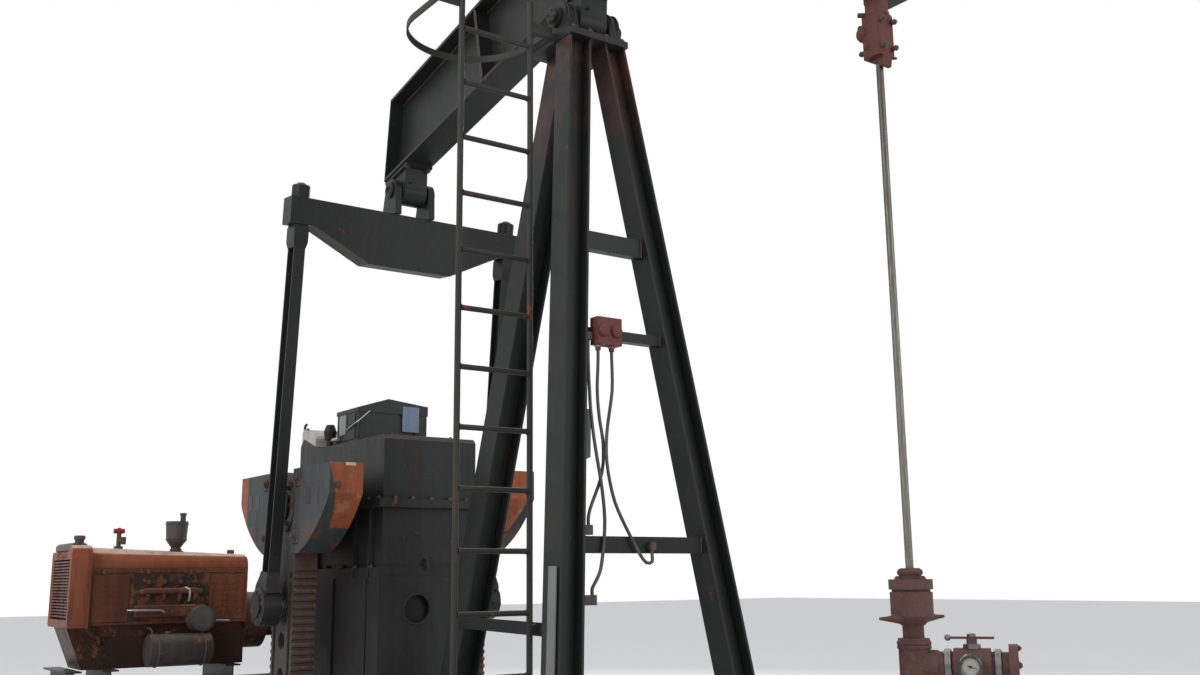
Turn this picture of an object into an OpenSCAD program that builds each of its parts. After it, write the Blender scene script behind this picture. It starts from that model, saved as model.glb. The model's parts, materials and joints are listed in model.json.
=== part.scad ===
// Beam pumping unit on a steel skid, with its engine, ladder and wellhead
// +X points to the well, +Z up, origin on level ground under the saddle bearing

/* [Linkage] */
// Height of the saddle bearing axis
pivot_z = 4860; // [4800:10:5000]
// Saddle bearing axis to the polished rod
front_arm = 2230; // [2150:10:2300]
// Saddle bearing axis to the tail bearing axis
tail_arm = 2295; // [2250:5:2340]
// Tilt of the beam at rest, tail down, in degrees
rest_tilt = 11.3; // [10:0.1:12.5]
// Distance of the crankshaft axis behind the saddle bearing
shaft_back = 2550; // [2520:5:2600]
// Height of the crankshaft axis
shaft_z = 2100; // [2080:5:2120]
// Crankshaft axis to the wrist pin in use
throw = 670; // [640:5:700]

/* [Walking beam] */
// Depth of the rolled beam
beam_h = 600; // [560:5:640]
// Width of its flanges
beam_w = 230; // [210:5:240]
// Thickness of its flanges
beam_flange = 22; // [16:1:28]
// Thickness of its web
beam_web = 16; // [12:1:24]
// Bearing axes below the underside of the beam
beam_drop = 170; // [160:5:190]
// Length of the beam ahead of the saddle bearing
beam_front = 1800; // [1750:10:1830]
// Width of the horse head
head_w = 290; // [240:5:320]
// Thickness of the horse head plates
head_t = 16; // [12:1:24]

/* [Post] */
// Width and depth of the front leg section
leg_w = 150; // [130:5:170]
// Width and depth of the rear leg section
rear_w = 175; // [150:5:190]
// Thickness of the leg webs and flanges
leg_t = 14; // [10:1:18]
// Half spread of the front legs at skid level
leg_spread = 645; // [620:5:670]
// Front legs ahead of the saddle bearing at skid level
leg_front = 654; // [620:2:690]
// Rear leg behind the saddle bearing at skid level
leg_back = 1650; // [1600:5:1660]

/* [Skid] */
// Height of the skid rails
skid_h = 300; // [280:5:320]
// Width of the skid rail flanges
skid_w = 200; // [180:5:220]
// Front end of the rails, ahead of the saddle bearing
skid_front = 1000; // [900:10:1200]
// Rear end of the rails, behind the saddle bearing
skid_back = 5300; // [5250:10:5500]
// Diameter of the anchor bolt holes
anchor_d = 34; // [26:1:40]

/* [Cranks and counterweights] */
// Thickness of the crank arms
crank_t = 160; // [130:5:165]
// Width of the crank arms
crank_w = 380; // [340:5:400]
// Crankshaft axis to the tip of the crank
crank_r = 1680; // [1600:10:1700]
// Centre plane of the cranks from the middle of the unit
crank_y = 660; // [655:1:665]
// Half length of the pair of counterweights
weight_r = 800; // [740:5:830]
// Thickness of the counterweights
weight_t = 230; // [200:5:240]
// Pitch of the rack teeth on the crank edges
tooth_pitch = 50; // [45:1:60]
// Height of the rack teeth
tooth_h = 16; // [10:1:20]

/* [Pitmans] */
// Centre plane of the pitmans from the middle of the unit
pitman_y = 840; // [838:1:850]
// Depth of the pitman section, seen from the side
pitman_w = 120; // [100:5:140]
// Width of the pitman section, seen from the front
pitman_t = 80; // [70:2:90]

/* [Ladder] */
// Width between the rail centres
ladder_w = 453; // [400:1:480]
// Spacing of the rungs
rung_step = 320; // [300:5:340]
// Diameter of the rails
ladder_rail_d = 34; // [28:1:42]
// Diameter of the rungs
rung_d = 30; // [20:1:34]
// Middle of the ladder from the middle of the unit
ladder_y = 611; // [600:1:630]

/* [Engine] */
// Middle of the engine behind the saddle bearing
engine_x = 4790; // [4780:5:4850]
// Height of the engine rails
engine_z = 940; // [900:5:960]
// Radiator end of the engine from the middle of the unit
engine_y = 1680; // [1640:5:1720]
// Length of the engine hood
hood_l = 1260; // [1200:10:1300]

/* [Well] */
// Diameter of the polished rod
rod_d = 32; // [28:1:38]
// Height of the stuffing box top
stuffing_z = 1620; // [1580:5:1660]
// Rod clamp height above ground at rest
clamp_z = 3770; // [3750:5:3800]

/* [Hidden] */
$fn = 48;
eps = 1;
run_fit = 0.05;
soft_gap = 0.3;
wire_d = 28;
wire_y = 95;

// Cables on the post, 0.97, 1.30 and 1.37 m long
cable_d = 18;
route_a = [
  [385, -200, 2790], [385, -200, 2750], [392, -208, 2680], [402, -220, 2590],
  [412, -224, 2500], [424, -221, 2400], [440, -214, 2300], [455, -225, 2180],
  [468, -255, 2090], [480, -298, 2010], [490, -336, 1940], [494, -350, 1895],
  [494, -350, 1860]];
route_b = [
  [385, -110, 2790], [385, -110, 2750], [394, -114, 2660], [404, -124, 2570],
  [420, -152, 2470], [448, -190, 2370], [470, -215, 2270], [484, -222, 2180],
  [492, -210, 2080], [498, -185, 1980], [506, -145, 1890], [514, -96, 1800],
  [522, -50, 1720], [528, -10, 1672], [528, 28, 1676], [520, 36, 1706],
  [518, 36, 1735]];
route_c = [
  [364, -250, 2845], [364, -250, 2805], [372, -256, 2750], [389, -266, 2664],
  [405, -272, 2560], [418, -275, 2457], [446, -276, 2310], [478, -276, 2180],
  [494, -268, 2080], [502, -260, 1980], [506, -256, 1886], [510, -264, 1790],
  [518, -280, 1710], [528, -304, 1630], [534, -338, 1578], [536, -360, 1545],
  [536, -360, 1515]];

// Belts and brake between the counterweights and the gear case
belt_w = 110;
weight_gap = 35;
sheave_gap = 5;
drum_gap = 10;
drum_w = 100;
weight_face = crank_y - weight_t/2;
belt_y = weight_face - weight_gap - belt_w/2;

// Gear case and its pedestal
box_front = 1850;
box_back = 3300;
box_flange = 45;
box_w = 2*(belt_y - belt_w/2 - sheave_gap - box_flange);
box_top = 2560;
box_rise = 95;
pedestal_top = 1620;
pedestal_w = box_w + 60;
drum_y = box_w/2 + box_flange + drum_gap + drum_w/2;
shaft_d = 210;
input_d = 90;
input_x = -box_back + 200;
locker_x = -box_back + 770;

// Places worked out from the linkage
tail_x = -tail_arm*cos(rest_tilt);
tail_z = pivot_z - tail_arm*sin(rest_tilt);
shaft_x = -shaft_back;
wrist_x = shaft_x;
wrist_z = shaft_z - throw;
pitman_lean = atan((tail_x - wrist_x)/(tail_z - wrist_z));
pitman_l = norm([tail_x - wrist_x, tail_z - wrist_z]);
head_r = front_arm - wire_d/2 - soft_gap;

// Post
cap_t = 40;
cap_w = 410;
cap_back = 290;
cap_front = 165;
cap_z = pivot_z - 115;
leg_top = cap_z - cap_t;
shaft_r = 60;
housing_w = 190;
saddle_gap = 20;
saddle_t = 80;
front_top_x = 66.6;
front_top_y = 122.9;
rear_top_x = 176.4;
foot_t = 22;
stand_x = 300;

// Pieces placed on the frame
module at_beam() {
  translate([0, 0, pivot_z]) rotate([0, -rest_tilt, 0]) children();
}

module at_tail() {
  translate([tail_x, 0, tail_z]) rotate([0, pitman_lean, 0]) children();
}

module at_shaft() {
  translate([shaft_x, 0, shaft_z]) children();
}

// A flat outline in X and Z, given thickness t along Y and centred on it
module side_plate(t) {
  rotate([90, 0, 0]) linear_extrude(height = t, center = true) children();
}

// A round bar along Y, centred
module bar_y(r, l) {
  rotate([90, 0, 0]) cylinder(r = r, h = l, center = true);
}

// A round bar along X from its start
module bar_x(r, l) {
  rotate([0, 90, 0]) cylinder(r = r, h = l);
}

// Section of a rolled beam, depth along Y of the sketch
module i_section(h, w, f, t) {
  translate([-w/2, -h/2]) square([w, f]);
  translate([-w/2, h/2 - f]) square([w, f]);
  translate([-t/2, -h/2]) square([t, h]);
}

// Rolled beam along X from x0 to x1, standing on z0
module beam_x(x0, x1, y, z0, h, w, f, t) {
  translate([x0, y, z0 + h/2]) rotate([90, 0, 90])
    linear_extrude(height = x1 - x0) i_section(h, w, f, t);
}

// Rolled beam along Y from y0 to y1, standing on z0
module beam_y(x, y0, y1, z0, h, w, f, t) {
  translate([x, y1, z0 + h/2]) rotate([90, 0, 0])
    linear_extrude(height = y1 - y0) i_section(h, w, f, t);
}

// Rolled section between two points, cut level at both ends
module leaning_leg(lo, hi, w, t) {
  run = hi - lo;
  tilt_x = -asin(run[1]/norm(run));
  tilt_y = atan(run[0]/run[2]);
  intersection() {
    translate(lo) rotate([tilt_x, tilt_y, 0]) translate([0, 0, -w])
      linear_extrude(height = norm(run) + 2*w) i_section(w, w, t, t*0.8);
    translate([min(lo[0], hi[0]) - 2*w, min(lo[1], hi[1]) - 2*w, lo[2]])
      cube([abs(run[0]) + 4*w, abs(run[1]) + 4*w, run[2]]);
  }
}

// Bolt foot of a leg, standing on the skid
module leg_foot(at, size) {
  translate([at[0] - size/2, at[1] - size/2, at[2]]) cube([size, size, foot_t]);
}

// Smooth curve through points, n steps between each two
function route_at(p, i, t) =
  let (a = p[max(i - 1, 0)], b = p[i], c = p[i + 1], d = p[min(i + 2, len(p) - 1)])
  0.5*(2*b + (c - a)*t + (2*a - 5*b + 4*c - d)*t*t + (3*b - a - 3*c + d)*t*t*t);

function smooth_route(p, n) =
  concat([for (i = [0 : len(p) - 2]) for (k = [0 : n - 1]) route_at(p, i, k/n)],
         [p[len(p) - 1]]);

function unit(v) = v/norm(v);

// Round tube swept along a route that runs mostly in Y and Z, upright at both ends
module cable_tube(p, d, sides = 10) {
  last = len(p) - 1;
  rings = [
    for (i = [0 : last])
      let (run = p[min(i + 1, last)] - p[max(i - 1, 0)],
           along = i == 0 || i == last ? [0, 0, sign(run[2])] : unit(run),
           across = unit([1, 0, 0] - along[0]*along),
           third = cross(along, across))
      for (k = [0 : sides - 1])
        p[i] + d/2*(cos(360*k/sides)*across + sin(360*k/sides)*third)];
  walls = [
    for (i = [0 : last - 1])
      for (k = [0 : sides - 1])
        let (m = (k + 1) % sides)
        [i*sides + k, (i + 1)*sides + k, (i + 1)*sides + m, i*sides + m]];
  polyhedron(rings, concat([[for (k = [0 : sides - 1]) k]], walls,
                           [[for (k = [sides - 1 : -1 : 0]) last*sides + k]]));
}

leg_lo = [leg_front, leg_spread, skid_h + foot_t];
leg_hi = [front_top_x, front_top_y, leg_top];
rear_lo = [-leg_back, 0, skid_h + foot_t];
rear_hi = [-rear_top_x, 0, leg_top];

// Point on the axis of a front leg at height z
function leg_at(z) =
  leg_lo + (leg_hi - leg_lo)*(z - leg_lo[2])/(leg_hi[2] - leg_lo[2]);

// Point on the axis of the rear leg at height z
function rear_at(z) =
  rear_lo + (rear_hi - rear_lo)*(z - rear_lo[2])/(rear_hi[2] - rear_lo[2]);

// Skid

cross_w = 180;
anchor_in = 80;
cross_x = [-engine_x - stand_x, -engine_x + stand_x, -box_back + 100, -box_front - 50,
           -leg_back, 0, leg_front];
rail_f = 18;
rail_web = 12;

module skid_rails() {
  color("#3a3d3a")
  for (s = [-1, 1])
    difference() {
      beam_x(-skid_back, skid_front, s*leg_spread, 0, skid_h, skid_w, rail_f, rail_web);
      for (x = [-skid_back + anchor_in, skid_front - anchor_in])
        for (o = [-1, 1])
          translate([x, s*leg_spread + o*65, -eps])
            cylinder(d = anchor_d, h = rail_f + 2*eps);
    }
}

module skid_crossbeams() {
  inner = leg_spread - rail_web/2;
  mid = leg_spread - skid_w/2;
  color("#3a3d3a")
  for (x = cross_x) {
    beam_y(x, -inner, inner, rail_f, skid_h - 2*rail_f, cross_w, 16, 12);
    translate([x - cross_w/2, -mid, 0]) cube([cross_w, 2*mid, rail_f]);
    translate([x - cross_w/2, -mid, skid_h - rail_f]) cube([cross_w, 2*mid, rail_f]);
  }
}

// Samson post

module front_leg(s) {
  mirror([0, s < 0 ? 1 : 0, 0]) {
    leaning_leg(leg_lo, leg_hi, leg_w, leg_t);
    leg_foot([leg_lo[0], leg_lo[1], skid_h], skid_w);
  }
}

module front_leg_near() {
  color("#3a3d3a") front_leg(-1);
}

module front_leg_far() {
  color("#3a3d3a") front_leg(1);
}

module rear_leg() {
  color("#3a3d3a") {
    leaning_leg(rear_lo, rear_hi, rear_w, leg_t);
    leg_foot([rear_lo[0], 0, skid_h], 180);
  }
}

// Half depth of a front leg, measured level across its lean
leg_run = leg_hi - leg_lo;
leg_half = leg_w/2*norm(leg_run)/norm([leg_run[0], leg_run[2]]);
brace_t = 60;

// Level brace between the front legs at height z, h deep, fitted between their flanges
module leg_brace(z, h) {
  p = leg_at(z);
  q = leg_at(z + h);
  half = q[1] - leg_half - soft_gap;
  translate([p[0] - brace_t/2, -half, z]) cube([brace_t, 2*half, h]);
}

// Places things in the frame of the near leg: +Y out of its outer flange, +Z up along it
module at_near_leg(z) {
  tilt_x = -asin(leg_run[1]/norm(leg_run));
  tilt_y = atan(leg_run[0]/leg_run[2]);
  mirror([0, 1, 0]) translate(leg_at(z)) rotate([tilt_x, tilt_y, 0]) children();
}

module leg_braces() {
  color("#3a3d3a") {
    leg_brace(top_brace_z, top_brace_h);
    leg_brace(mid_brace_z, mid_brace_h);
    leg_brace(low_brace_z, low_brace_h);
    side_strut();
  }
}

// Strut from the rear leg to the near front leg, which also carries the ladder
top_brace_z = 3380;
top_brace_h = 105;
mid_brace_z = 2865;
mid_brace_h = 55;
low_brace_z = 1720;
low_brace_h = 85;
strut_z = 1300;
strut_h = 70;
strut_t = 12;
strut_from = [rear_at(strut_z)[0] + 60, -rear_w/2 - strut_t/2 - 1];
strut_to = [leg_at(strut_z)[0] - 30, -leg_at(strut_z + strut_h)[1] + leg_half + strut_t/2 + 1];

module side_strut() {
  run = strut_to - strut_from;
  translate([strut_from[0], strut_from[1], strut_z]) rotate([0, 0, atan2(run[1], run[0])])
    translate([0, -strut_t/2, 0]) cube([norm(run), strut_t, strut_h]);
}

// Cap that joins the three legs and carries the saddle shaft

module shaft_saddle(y) {
  ring_r = shaft_r + 35;
  translate([0, y, 0]) side_plate(saddle_t)
    difference() {
      union() {
        polygon([[-ring_r - 25, cap_z], [ring_r + 25, cap_z], [ring_r, pivot_z], [-ring_r, pivot_z]]);
        translate([0, pivot_z]) circle(r = ring_r);
      }
      translate([0, pivot_z]) circle(r = shaft_r - 5);
    }
}

module post_head() {
  saddle_y = housing_w/2 + saddle_gap + saddle_t/2;
  color("#33363a") {
    difference() {
      translate([-cap_back, -cap_w/2, leg_top]) cube([cap_back + cap_front, cap_w, cap_t]);
      translate([-30, 0, leg_top - eps]) cylinder(r = 45, h = cap_t + 2*eps);
    }
    for (s = [-1, 1]) shaft_saddle(s*saddle_y);
    translate([0, 0, pivot_z]) bar_y(shaft_r, 2*saddle_y + saddle_t + 40);
  }
}

// Gear reducer

module gearbox_pedestal() {
  x0 = -box_back + 60;
  x1 = -box_front + 30;
  hole_r = 92;
  hole_y = -100;
  hole_z = 1405;
  color("#2e3134")
  difference() {
    union() {
      translate([x0, -pedestal_w/2, skid_h]) cube([x1 - x0, pedestal_w, pedestal_top - skid_h]);
      translate([x0 - 60, -pedestal_w/2 - 40, skid_h]) cube([x1 - x0 + 80, pedestal_w + 80, 30]);
    }
    // Blind round opening in the front wall
    translate([x1 - 40, hole_y, hole_z]) bar_x(hole_r, 60);
  }
}

module gearbox() {
  foot = 60;
  flange = box_flange;
  ribs = [-box_front - 130, shaft_x + 330, shaft_x - 330];
  color("#2e3134") {
    difference() {
      union() {
        side_plate(box_w)
          polygon([[-box_back, pedestal_top + foot], [-box_front, pedestal_top + foot],
                   [-box_front, box_top - 30], [-box_front - 30, box_top],
                   [-box_back + 330, box_top], [-box_back + 60, box_top + box_rise],
                   [-box_back, box_top + box_rise - 50]]);
        translate([-box_back - 40, -box_w/2 - 30, pedestal_top])
          cube([box_back - box_front + 60, box_w + 60, foot]);
        translate([-box_back - flange, -box_w/2 - flange, shaft_z - 28])
          cube([box_back - box_front + 2*flange, box_w + 2*flange, 56]);
        translate([shaft_x, 0, shaft_z]) bar_y(170, box_w + 2*flange);
        translate([input_x, 0, shaft_z]) bar_y(120, box_w + 2*flange);
        for (s = [-1, 1])
          for (x = ribs)
            translate([x - 12, s*(box_w/2 + 20) - 20, pedestal_top])
              cube([24, 40, shaft_z - pedestal_top]);
      }
      translate([shaft_x, 0, shaft_z]) bar_y(shaft_d/2 + run_fit, box_w + 400);
      translate([input_x, 0, shaft_z]) bar_y(input_d/2 + run_fit, box_w + 400);
    }
    // Breather on the top cover
    translate([-box_back + 350, -box_w/2 + 86, box_top]) {
      cylinder(r = 24, h = 90);
      translate([0, 0, 70]) cylinder(r1 = 40, r2 = 50, h = 60);
      translate([0, 0, 130]) cylinder(r1 = 50, r2 = 30, h = 50);
    }
  }
}

// Cabinet with a gabled top that stands on the gear case
module gearbox_locker() {
  depth = 350;
  left = -240;
  right = 320;
  wall = 250;
  rise = 60;
  color("#3a3d3f")
  difference() {
    translate([locker_x - depth, 0, box_top]) rotate([90, 0, 90])
      linear_extrude(height = depth)
        polygon([[left, 0], [right, 0], [right, wall], [(left + right)/2, wall + rise], [left, wall]]);
    translate([locker_x - 12, 85, box_top + 75]) cube([20, 140, 165]);
  }
}

// Grooved sheave along Y, with its web and hub
module sheave(r, w, grooves, hub_r, hub_w) {
  pitch = w/(grooves + 0.4);
  rim = 62;
  rotate([90, 0, 0]) {
    rotate_extrude($fn = 72) {
      difference() {
        translate([r - rim, -w/2]) square([rim, w]);
        for (i = [0 : grooves - 1])
          translate([r, (i - (grooves - 1)/2)*pitch])
            polygon([[0.1, -pitch*0.4], [0.1, pitch*0.4], [-20, pitch*0.22], [-20, -pitch*0.22]]);
      }
      translate([hub_r - eps, -12]) square([r - rim - hub_r + 2*eps, 24]);
    }
    cylinder(r = hub_r, h = hub_w, center = true);
  }
}

sheave_r = 380;
drive_r = 130;
drive_x = -engine_x;
drive_z = 1260;
pto_y = 90;
belts = 4;
shaft_gap = 20;

module input_sheave() {
  color("#33363a") {
    translate([input_x, belt_y, shaft_z]) sheave(sheave_r, belt_w, belts, 90, 90);
    translate([input_x, 0, shaft_z]) bar_y(input_d/2, 2*(weight_face - shaft_gap));
  }
}

drum_r = 260;

module brake_drum() {
  color("#33363a")
  translate([input_x, -drum_y, shaft_z]) rotate([90, 0, 0])
  difference() {
    union() {
      difference() {
        cylinder(r = drum_r, h = drum_w, center = true, $fn = 64);
        translate([0, 0, 20 - drum_w/2 - 40]) cylinder(r = drum_r - 24, h = drum_w, $fn = 64);
      }
      cylinder(r = 80, h = drum_w - 10, center = true);
    }
    cylinder(r = input_d/2 + run_fit, h = 2*drum_w, center = true);
  }
}

module engine_sheave() {
  color("#33363a") {
    translate([drive_x, belt_y, drive_z]) sheave(drive_r, belt_w, belts, 50, belt_w);
    translate([drive_x, (pto_y + belt_y + belt_w/2)/2, drive_z]) bar_y(32, belt_y + belt_w/2 - pto_y);
  }
}

// Four belts as closed loops round the two sheaves
module drive_belts() {
  run = [input_x - drive_x, shaft_z - drive_z];
  span = norm(run);
  lean = atan2(run[1], run[0]);
  open = asin((sheave_r - drive_r)/span);
  pitch = belt_w/(belts + 0.4);
  color("#1c1c1c")
  for (i = [0 : belts - 1])
    translate([drive_x, belt_y + (i - (belts - 1)/2)*pitch, drive_z]) rotate([0, -lean, 0])
      side_plate(pitch*0.56)
        difference() {
          belt_outline(span, open, 2);
          belt_outline(span, open, -10);
        }
}

// Outline round both sheaves, grown by g
module belt_outline(span, open, g) {
  a = drive_r + g;
  b = sheave_r + g;
  c = 90 + open;
  circle(r = a, $fn = 64);
  translate([span, 0]) circle(r = b, $fn = 96);
  polygon([[a*cos(c), a*sin(c)], [span + b*cos(c), b*sin(c)],
           [span + b*cos(c), -b*sin(c)], [a*cos(c), -a*sin(c)]]);
}

// Engine and its stand

stand_beam = 140;
stand_in = 300;
stand_out = engine_y - 60;

module engine_stand() {
  color("#2e3134") {
    for (x = [-engine_x - stand_x, -engine_x + stand_x]) {
      translate([x - 60, stand_in - 60, skid_h]) cube([120, 120, engine_z - 2*stand_beam - skid_h]);
      translate([x - 60, -stand_out - 60, 16]) cube([120, 120, engine_z - 2*stand_beam - 16]);
      translate([x - 130, -stand_out - 130, 0]) cube([260, 260, 16]);
    }
  }
}

module engine_rails() {
  color("#2e3134") {
    for (x = [-engine_x - stand_x, -engine_x + stand_x])
      beam_y(x, -engine_y - 40, stand_in + 160, engine_z - 2*stand_beam, stand_beam, 120, 12, 10);
    for (y = [stand_in, -400, -1350, -stand_out])
      beam_x(-engine_x - stand_x - 70, -engine_x + stand_x + 70, y, engine_z - stand_beam,
             stand_beam, 120, 12, 10);
  }
}

hood_w = 500;
hood_h = 530;
hood_edge = 90;
block_w = 420;
block_h = 330;
radiator_t = 148;
radiator_w = 660;
radiator_z = engine_z + block_h - 10;
radiator_h = 580;
hood_y = -engine_y + radiator_t + 2;

module engine_block() {
  y0 = hood_y + 20;
  bell_y = hood_y + hood_l;
  color("#5a2a22") {
    translate([-engine_x - block_w/2, y0, engine_z]) cube([block_w, bell_y - y0, block_h]);
    // Sloping support under the radiator
    translate([-engine_x - block_w/2, 0, 0]) rotate([90, 0, 90])
      linear_extrude(height = block_w)
        polygon([[-engine_y + 20, radiator_z], [y0 + eps, radiator_z], [y0 + eps, engine_z],
                 [y0 - 20, engine_z]]);
    translate([-engine_x, bell_y, drive_z + 20]) rotate([-90, 0, 0])
      cylinder(r = 230, h = 200);
    translate([-engine_x, bell_y + 200, drive_z]) rotate([-90, 0, 0])
      cylinder(r = 120, h = pto_y - bell_y - 200);
  }
}

module engine_hood() {
  side = hood_w/2;
  color("#c4602e")
  translate([-engine_x, hood_y, engine_z + block_h]) rotate([-90, 0, 0])
    linear_extrude(height = hood_l)
      polygon([[-side, 0], [side, 0], [side, hood_edge - hood_h], [side - hood_edge*2/3, -hood_h],
               [hood_edge*2/3 - side, -hood_h], [-side, hood_edge - hood_h]]);
}

// Casing round the core, open to the front behind a grille of level slats
module radiator() {
  rim = 60;
  slats = 10;
  slat_step = (radiator_h - 2*rim)/slats;
  color("#b5552b")
  translate([-engine_x - radiator_w/2, -engine_y, radiator_z]) {
    difference() {
      cube([radiator_w, radiator_t, radiator_h]);
      translate([rim, -eps, rim]) cube([radiator_w - 2*rim, 60, radiator_h - 2*rim]);
    }
    for (i = [0 : slats - 1])
      translate([rim - 5, 12, rim + (i + 0.35)*slat_step])
        cube([radiator_w - 2*rim + 10, 36, 14]);
  }
}

// Round air cleaner on its pipe
module air_cleaner() {
  pipe_h = 130;
  body_h = 160;
  color("#8a8d8c")
  translate([-engine_x + 60, -engine_y + 860, engine_z + block_h + hood_h]) {
    cylinder(r = 40, h = pipe_h);
    translate([0, 0, pipe_h - 50]) cylinder(r1 = 40, r2 = 78, h = 50);
    translate([0, 0, pipe_h]) cylinder(r1 = 80, r2 = 90, h = body_h);
    translate([20, 40, pipe_h + body_h]) cylinder(r = 22, h = 64);
  }
}

// Oil filter and long round tank on the side of the block
module engine_fittings() {
  side = -engine_x + block_w/2;
  tank_r = 125;
  tank_l = 480;
  tank_y = -engine_y + 840;
  filter_r = 100;
  filter_y = -engine_y + 1015;
  color("#7f8381") {
    translate([side, filter_y, engine_z + block_h - 36]) bar_x(30, 60);
    translate([-engine_x + hood_w/2 + 10, filter_y, engine_z + 370]) {
      bar_x(filter_r, 130);
      translate([130, 0, 0]) bar_x(filter_r - 22, 20);
    }
    translate([side + tank_r + 8, tank_y, engine_z + tank_r + 6]) bar_y(tank_r, tank_l);
    for (y = [-1, 1])
      translate([side, tank_y + y*(tank_l/2 - 70) - 20, engine_z + 60]) cube([tank_r, 40, 40]);
  }
}

// Ladder

ladder_foot = skid_h;
rung_first = 160;
ladder_top = 4900;

module ladder() {
  right_y = -ladder_y + ladder_w/2;
  strut_run = strut_to - strut_from;
  to_strut = norm(cross([strut_run[0], strut_run[1], 0],
                        [-strut_from[0], right_y - strut_from[1], 0]))/norm(strut_run);
  color("#55524c") {
    for (s = [-1, 1])
      translate([0, -ladder_y + s*ladder_w/2, ladder_foot])
        cylinder(d = ladder_rail_d, h = ladder_top - ladder_foot, $fn = 24);
    // Foot plate on the skid rail
    translate([-40, -ladder_y - ladder_w/2 - 30, ladder_foot])
      cube([80, ladder_w + 60, 14]);
    // Stay to the strut of the post
    translate([0, right_y, strut_z + 10])
      rotate([0, 0, atan2(strut_run[1], strut_run[0])])
        translate([-20, 0, 0]) cube([40, to_strut - strut_t/2 - soft_gap, strut_h - 20]);
    // Stay to the cap of the post
    translate([-20, right_y, leg_top + 5])
      cube([40, -cap_w/2 - soft_gap - right_y, cap_t - 10]);
  }
}

module ladder_rungs() {
  rung_l = ladder_w - ladder_rail_d - 2*soft_gap;
  color("#55524c")
  for (z = [ladder_foot + rung_first : rung_step : ladder_top - 100])
    translate([0, -ladder_y, z]) rotate([90, 0, 0])
      cylinder(d = rung_d, h = rung_l, center = true, $fn = 16);
}

// Hoop behind the top of the ladder: straight sides closed by a half circle
hoop_r = 380;
hoop_out = 290;
hoop_t = 10;
hoop_h = 40;
hoop_z = ladder_top - 155;

module hoop_outline(r) {
  translate([-hoop_out, 0]) circle(r = r, $fn = 96);
  translate([-hoop_out, -r]) square([hoop_out, 2*r]);
}

module ladder_hoop() {
  rail_side = ladder_w/2 + ladder_rail_d/2 + soft_gap;
  color("#55524c")
  translate([0, -ladder_y, hoop_z]) {
    linear_extrude(height = hoop_h)
      difference() {
        hoop_outline(hoop_r);
        hoop_outline(hoop_r - hoop_t);
        translate([0, -hoop_r]) square([hoop_r, 2*hoop_r]);
      }
    for (s = [0, 1])
      mirror([0, s, 0])
        translate([-hoop_t, rail_side, 0]) cube([hoop_t, hoop_r - hoop_t/2 - rail_side, hoop_h]);
  }
}

// Electrical boxes and cables on the post

junction_z = 2820;
junction_box_size = [70, 160, 150];
gland_h = 30;

module junction_box() {
  x = leg_at(mid_brace_z)[0] + brace_t/2 + soft_gap;
  color("#7a3a30") {
    translate([x, -220, junction_z]) cube(junction_box_size);
    for (p = [route_a[0], route_b[0]])
      translate(p) cylinder(r = 15, h = junction_z - p[2] + eps, $fn = 24);
  }
}

// Switch box and conduit on the near leg
module leg_switch() {
  box = [50, 60, 260];
  box_at = 2350;
  pipe_r = 22;
  pipe_at = 700;
  pipe_l = 950;
  pipe_x = 45;
  color("#9aa0a0") {
    at_near_leg(box_at)
      translate([-box[0]/2, -leg_w/2 - box[1] - soft_gap, -box[2]/2]) cube(box);
    at_near_leg(pipe_at)
      translate([pipe_x, leg_w/2 + pipe_r + soft_gap, 0]) cylinder(r = pipe_r, h = pipe_l, $fn = 24);
  }
}

// Clips that the ends of the cables go into
module cable_clips() {
  end_a = route_a[len(route_a) - 1];
  end_b = route_b[len(route_b) - 1];
  end_c = route_c[len(route_c) - 1];
  top_c = route_c[0];
  brace_x = leg_at(low_brace_z)[0] + brace_t/2;
  color("#9c9d9a") {
    for (p = [end_a, end_c])
      leg_clip(p[0], p[1], p[2] - 50, p[2]);
    leg_clip(top_c[0], top_c[1], top_c[2], top_c[2] + 40);
    translate([brace_x + soft_gap, end_b[1] - 18, end_b[2]])
      cube([end_b[0] + 16 - brace_x - soft_gap, 36, 40]);
  }
}

// Block from the inner flange of the near leg out past a cable end, z0 to z1
module leg_clip(x, y, z0, z1) {
  flange_y = -leg_at(z1)[1] + leg_half + soft_gap;
  translate([x - 18, flange_y, z0]) cube([36, y + 16 - flange_y, z1 - z0]);
}

module cable_a() {
  color("#1b1b1c") cable_tube(smooth_route(route_a, 2), cable_d);
}

module cable_b() {
  color("#1b1b1c") cable_tube(smooth_route(route_b, 2), cable_d);
}

module cable_c() {
  color("#1b1b1c") cable_tube(smooth_route(route_c, 2), cable_d);
}

// Wellhead

neck_r = 62;
outlet_z = 1250;
outlet_x = 80;
pipe_r = 50;
bore_r = 22;
outlet_turn = 35;

module wellhead() {
  color("#5a3a32")
  translate([front_arm, 0, 0])
  difference() {
    union() {
      cylinder(r = 150, h = 60);
      cylinder(r = 115, h = 420);
      translate([0, 0, 380]) cylinder(r = 190, h = 50);
      translate([0, 0, 434]) cylinder(r = 190, h = 50);
      cylinder(r = 90, h = 900);
      translate([0, 0, 860]) cylinder(r = 130, h = 45);
      cylinder(r = neck_r, h = stuffing_z - 270);
      cylinder(r = 42, h = stuffing_z - 240);
      translate([0, 0, outlet_z]) rotate([0, 0, outlet_turn]) bar_x(pipe_r + 4, outlet_x);
    }
    translate([0, 0, -eps]) cylinder(r = 34, h = stuffing_z);
    translate([0, 0, outlet_z]) rotate([0, 0, outlet_turn]) bar_x(bore_r, outlet_x + eps);
  }
}

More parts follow.
